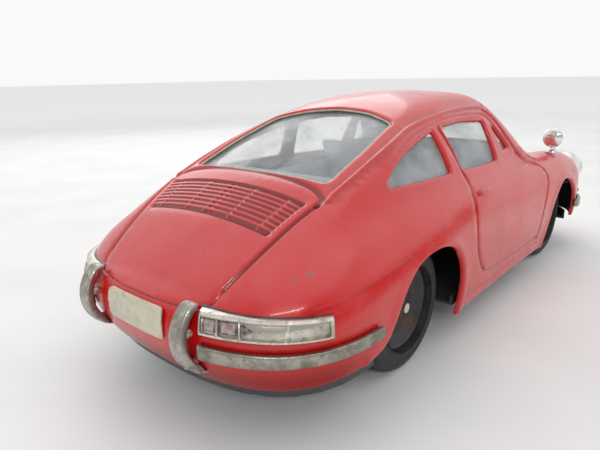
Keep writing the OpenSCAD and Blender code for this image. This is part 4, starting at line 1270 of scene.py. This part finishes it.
def make_door_handles():
    """Short raised bar pressed into each door."""
    over, sideways = squared(np.linspace(0, 2 * math.pi, 16, endpoint=False), 0.7)
    for side, word in SIDES:
        rings = []
        for u in np.linspace(0, 1, 24):
            k = math.sqrt(max(0.02, 1 - abs(2 * u - 1)**4))
            z = HANDLE_Z + HANDLE_HIGH * sideways * k
            base = on_side(np.stack([0 * z + HANDLE_REAR + (HANDLE_FRONT - HANDLE_REAR) * u, z], -1), side, 0)
            lift = HANDLE_LIFT * k * (0.5 + 0.5 * over) - HANDLE_SUNK * (0.5 - 0.5 * over)
            rings.append(base + normals(base) * lift[:, None])
        pts, faces = tube(np.array(rings))
        add_mesh(f"door_handle_{word}", pts, faces, "red_enamel")


def make_floor():
    m = Mat("paper", Roughness=0.85)
    grey = m.patches(0.3, 0.7, 60, 4, 0.5)
    # Painted light: the paper is greyer near the car and painted brighter away from it, a painted fade into
    # the bright backdrop.
    near = m.ball(0, 0, 0, 1500)
    paper = m.mix(grey, (0.82, 0.82, 0.82), (0.87, 0.87, 0.865))
    m.set("Base Color", m.mix(near, (0.97, 0.97, 0.97), paper))
    size = 9000
    mesh = bpy.data.meshes.new("floor")
    corners = [(-size, -size, 0), (size, -size, 0), (size, size, 0), (-size, size, 0)]
    mesh.from_pydata([[c * MM for c in corner] for corner in corners], [], [(0, 1, 2, 3)])
    mesh.materials.append(m.material)
    floor = bpy.data.objects.new("floor", mesh)
    bpy.context.scene.collection.objects.link(floor)


def make_world():
    """White studio that is dimmer on the viewer's side, so that the gloss keeps its colour."""
    world = bpy.data.worlds.new("studio")
    world.use_nodes = True
    tree = world.node_tree
    back = tree.nodes["Background"]
    where = tree.nodes.new("ShaderNodeTexCoord")
    dot = tree.nodes.new("ShaderNodeVectorMath")
    dot.operation = "DOT_PRODUCT"
    dot.inputs[1].default_value = (-0.72, -0.62, 0.3)
    ramp = tree.nodes.new("ShaderNodeMapRange")
    ramp.interpolation_type = "SMOOTHSTEP"
    for key, value in (("From Min", 0.1), ("From Max", 0.85), ("To Min", 0.95), ("To Max", 0.5)):
        ramp.inputs[key].default_value = value
    tree.links.new(where.outputs["Generated"], dot.inputs[0])
    tree.links.new(dot.outputs["Value"], ramp.inputs["Value"])
    tree.links.new(ramp.outputs["Result"], back.inputs["Strength"])
    back.inputs["Color"].default_value = (1, 1, 1, 1)
    bpy.context.scene.world = world
    bpy.context.scene.view_settings.view_transform = "Standard"


def area_light(name, at, aim, size, power):
    light = bpy.data.lights.new(name, "AREA")
    light.shape = "RECTANGLE"
    light.size, light.size_y = size
    light.energy = power
    obj = bpy.data.objects.new(name, light)
    obj.location = [v * MM for v in at]
    way = Vector([(b - a) * MM for a, b in zip(at, aim)])
    obj.rotation_euler = way.to_track_quat("-Z", "Y").to_euler()
    bpy.context.scene.collection.objects.link(obj)


def make_lights():
    area_light("softbox", (-100, -200, 1100), (0, 0, 30), (1.3, 1.3), 2.2)
    area_light("window", (-420, -350, 330), (-100, -35, 40), (0.26, 0.02), 0.55)
    area_light("fill", (300, 500, 420), (0, 0, 40), (0.7, 0.4), 1.0)


# View of the car from behind on its right: where the camera is, its direction and its lens
CAMERA_AT = (-187.62, -108.86, 86.88)
CAMERA_TURN = (-49.1169, 16.0433, -1.0406)
CAMERA_LENS = 31.13


def make_camera():
    az, el, roll = (math.radians(v) for v in CAMERA_TURN)
    back = Vector((math.sin(az) * math.cos(el), -math.cos(az) * math.cos(el), math.sin(el)))
    right = Vector((math.cos(az), math.sin(az), 0))
    up = back.cross(right)
    across_view = math.cos(roll) * right + math.sin(roll) * up
    up_view = -math.sin(roll) * right + math.cos(roll) * up
    data = bpy.data.cameras.new("camera")
    data.lens = CAMERA_LENS
    data.sensor_width = 36
    data.clip_start = 0.005
    camera = bpy.data.objects.new("camera", data)
    camera.matrix_world = Matrix([(across_view[i], up_view[i], back[i], CAMERA_AT[i] * MM) for i in range(3)]
                                 + [(0, 0, 0, 1)])
    bpy.context.scene.collection.objects.link(camera)
    bpy.context.scene.camera = camera


make_camera()
make_world()
make_lights()
make_floor()
dress_cad_nodes()
make_shell()
make_windows()
make_window_lips()
make_bumpers()
make_overriders()
make_tail_lamps()
make_number_plate()
make_headlamps()
make_front_indicators()
make_mirrors()
make_wheels()
make_door_handles()
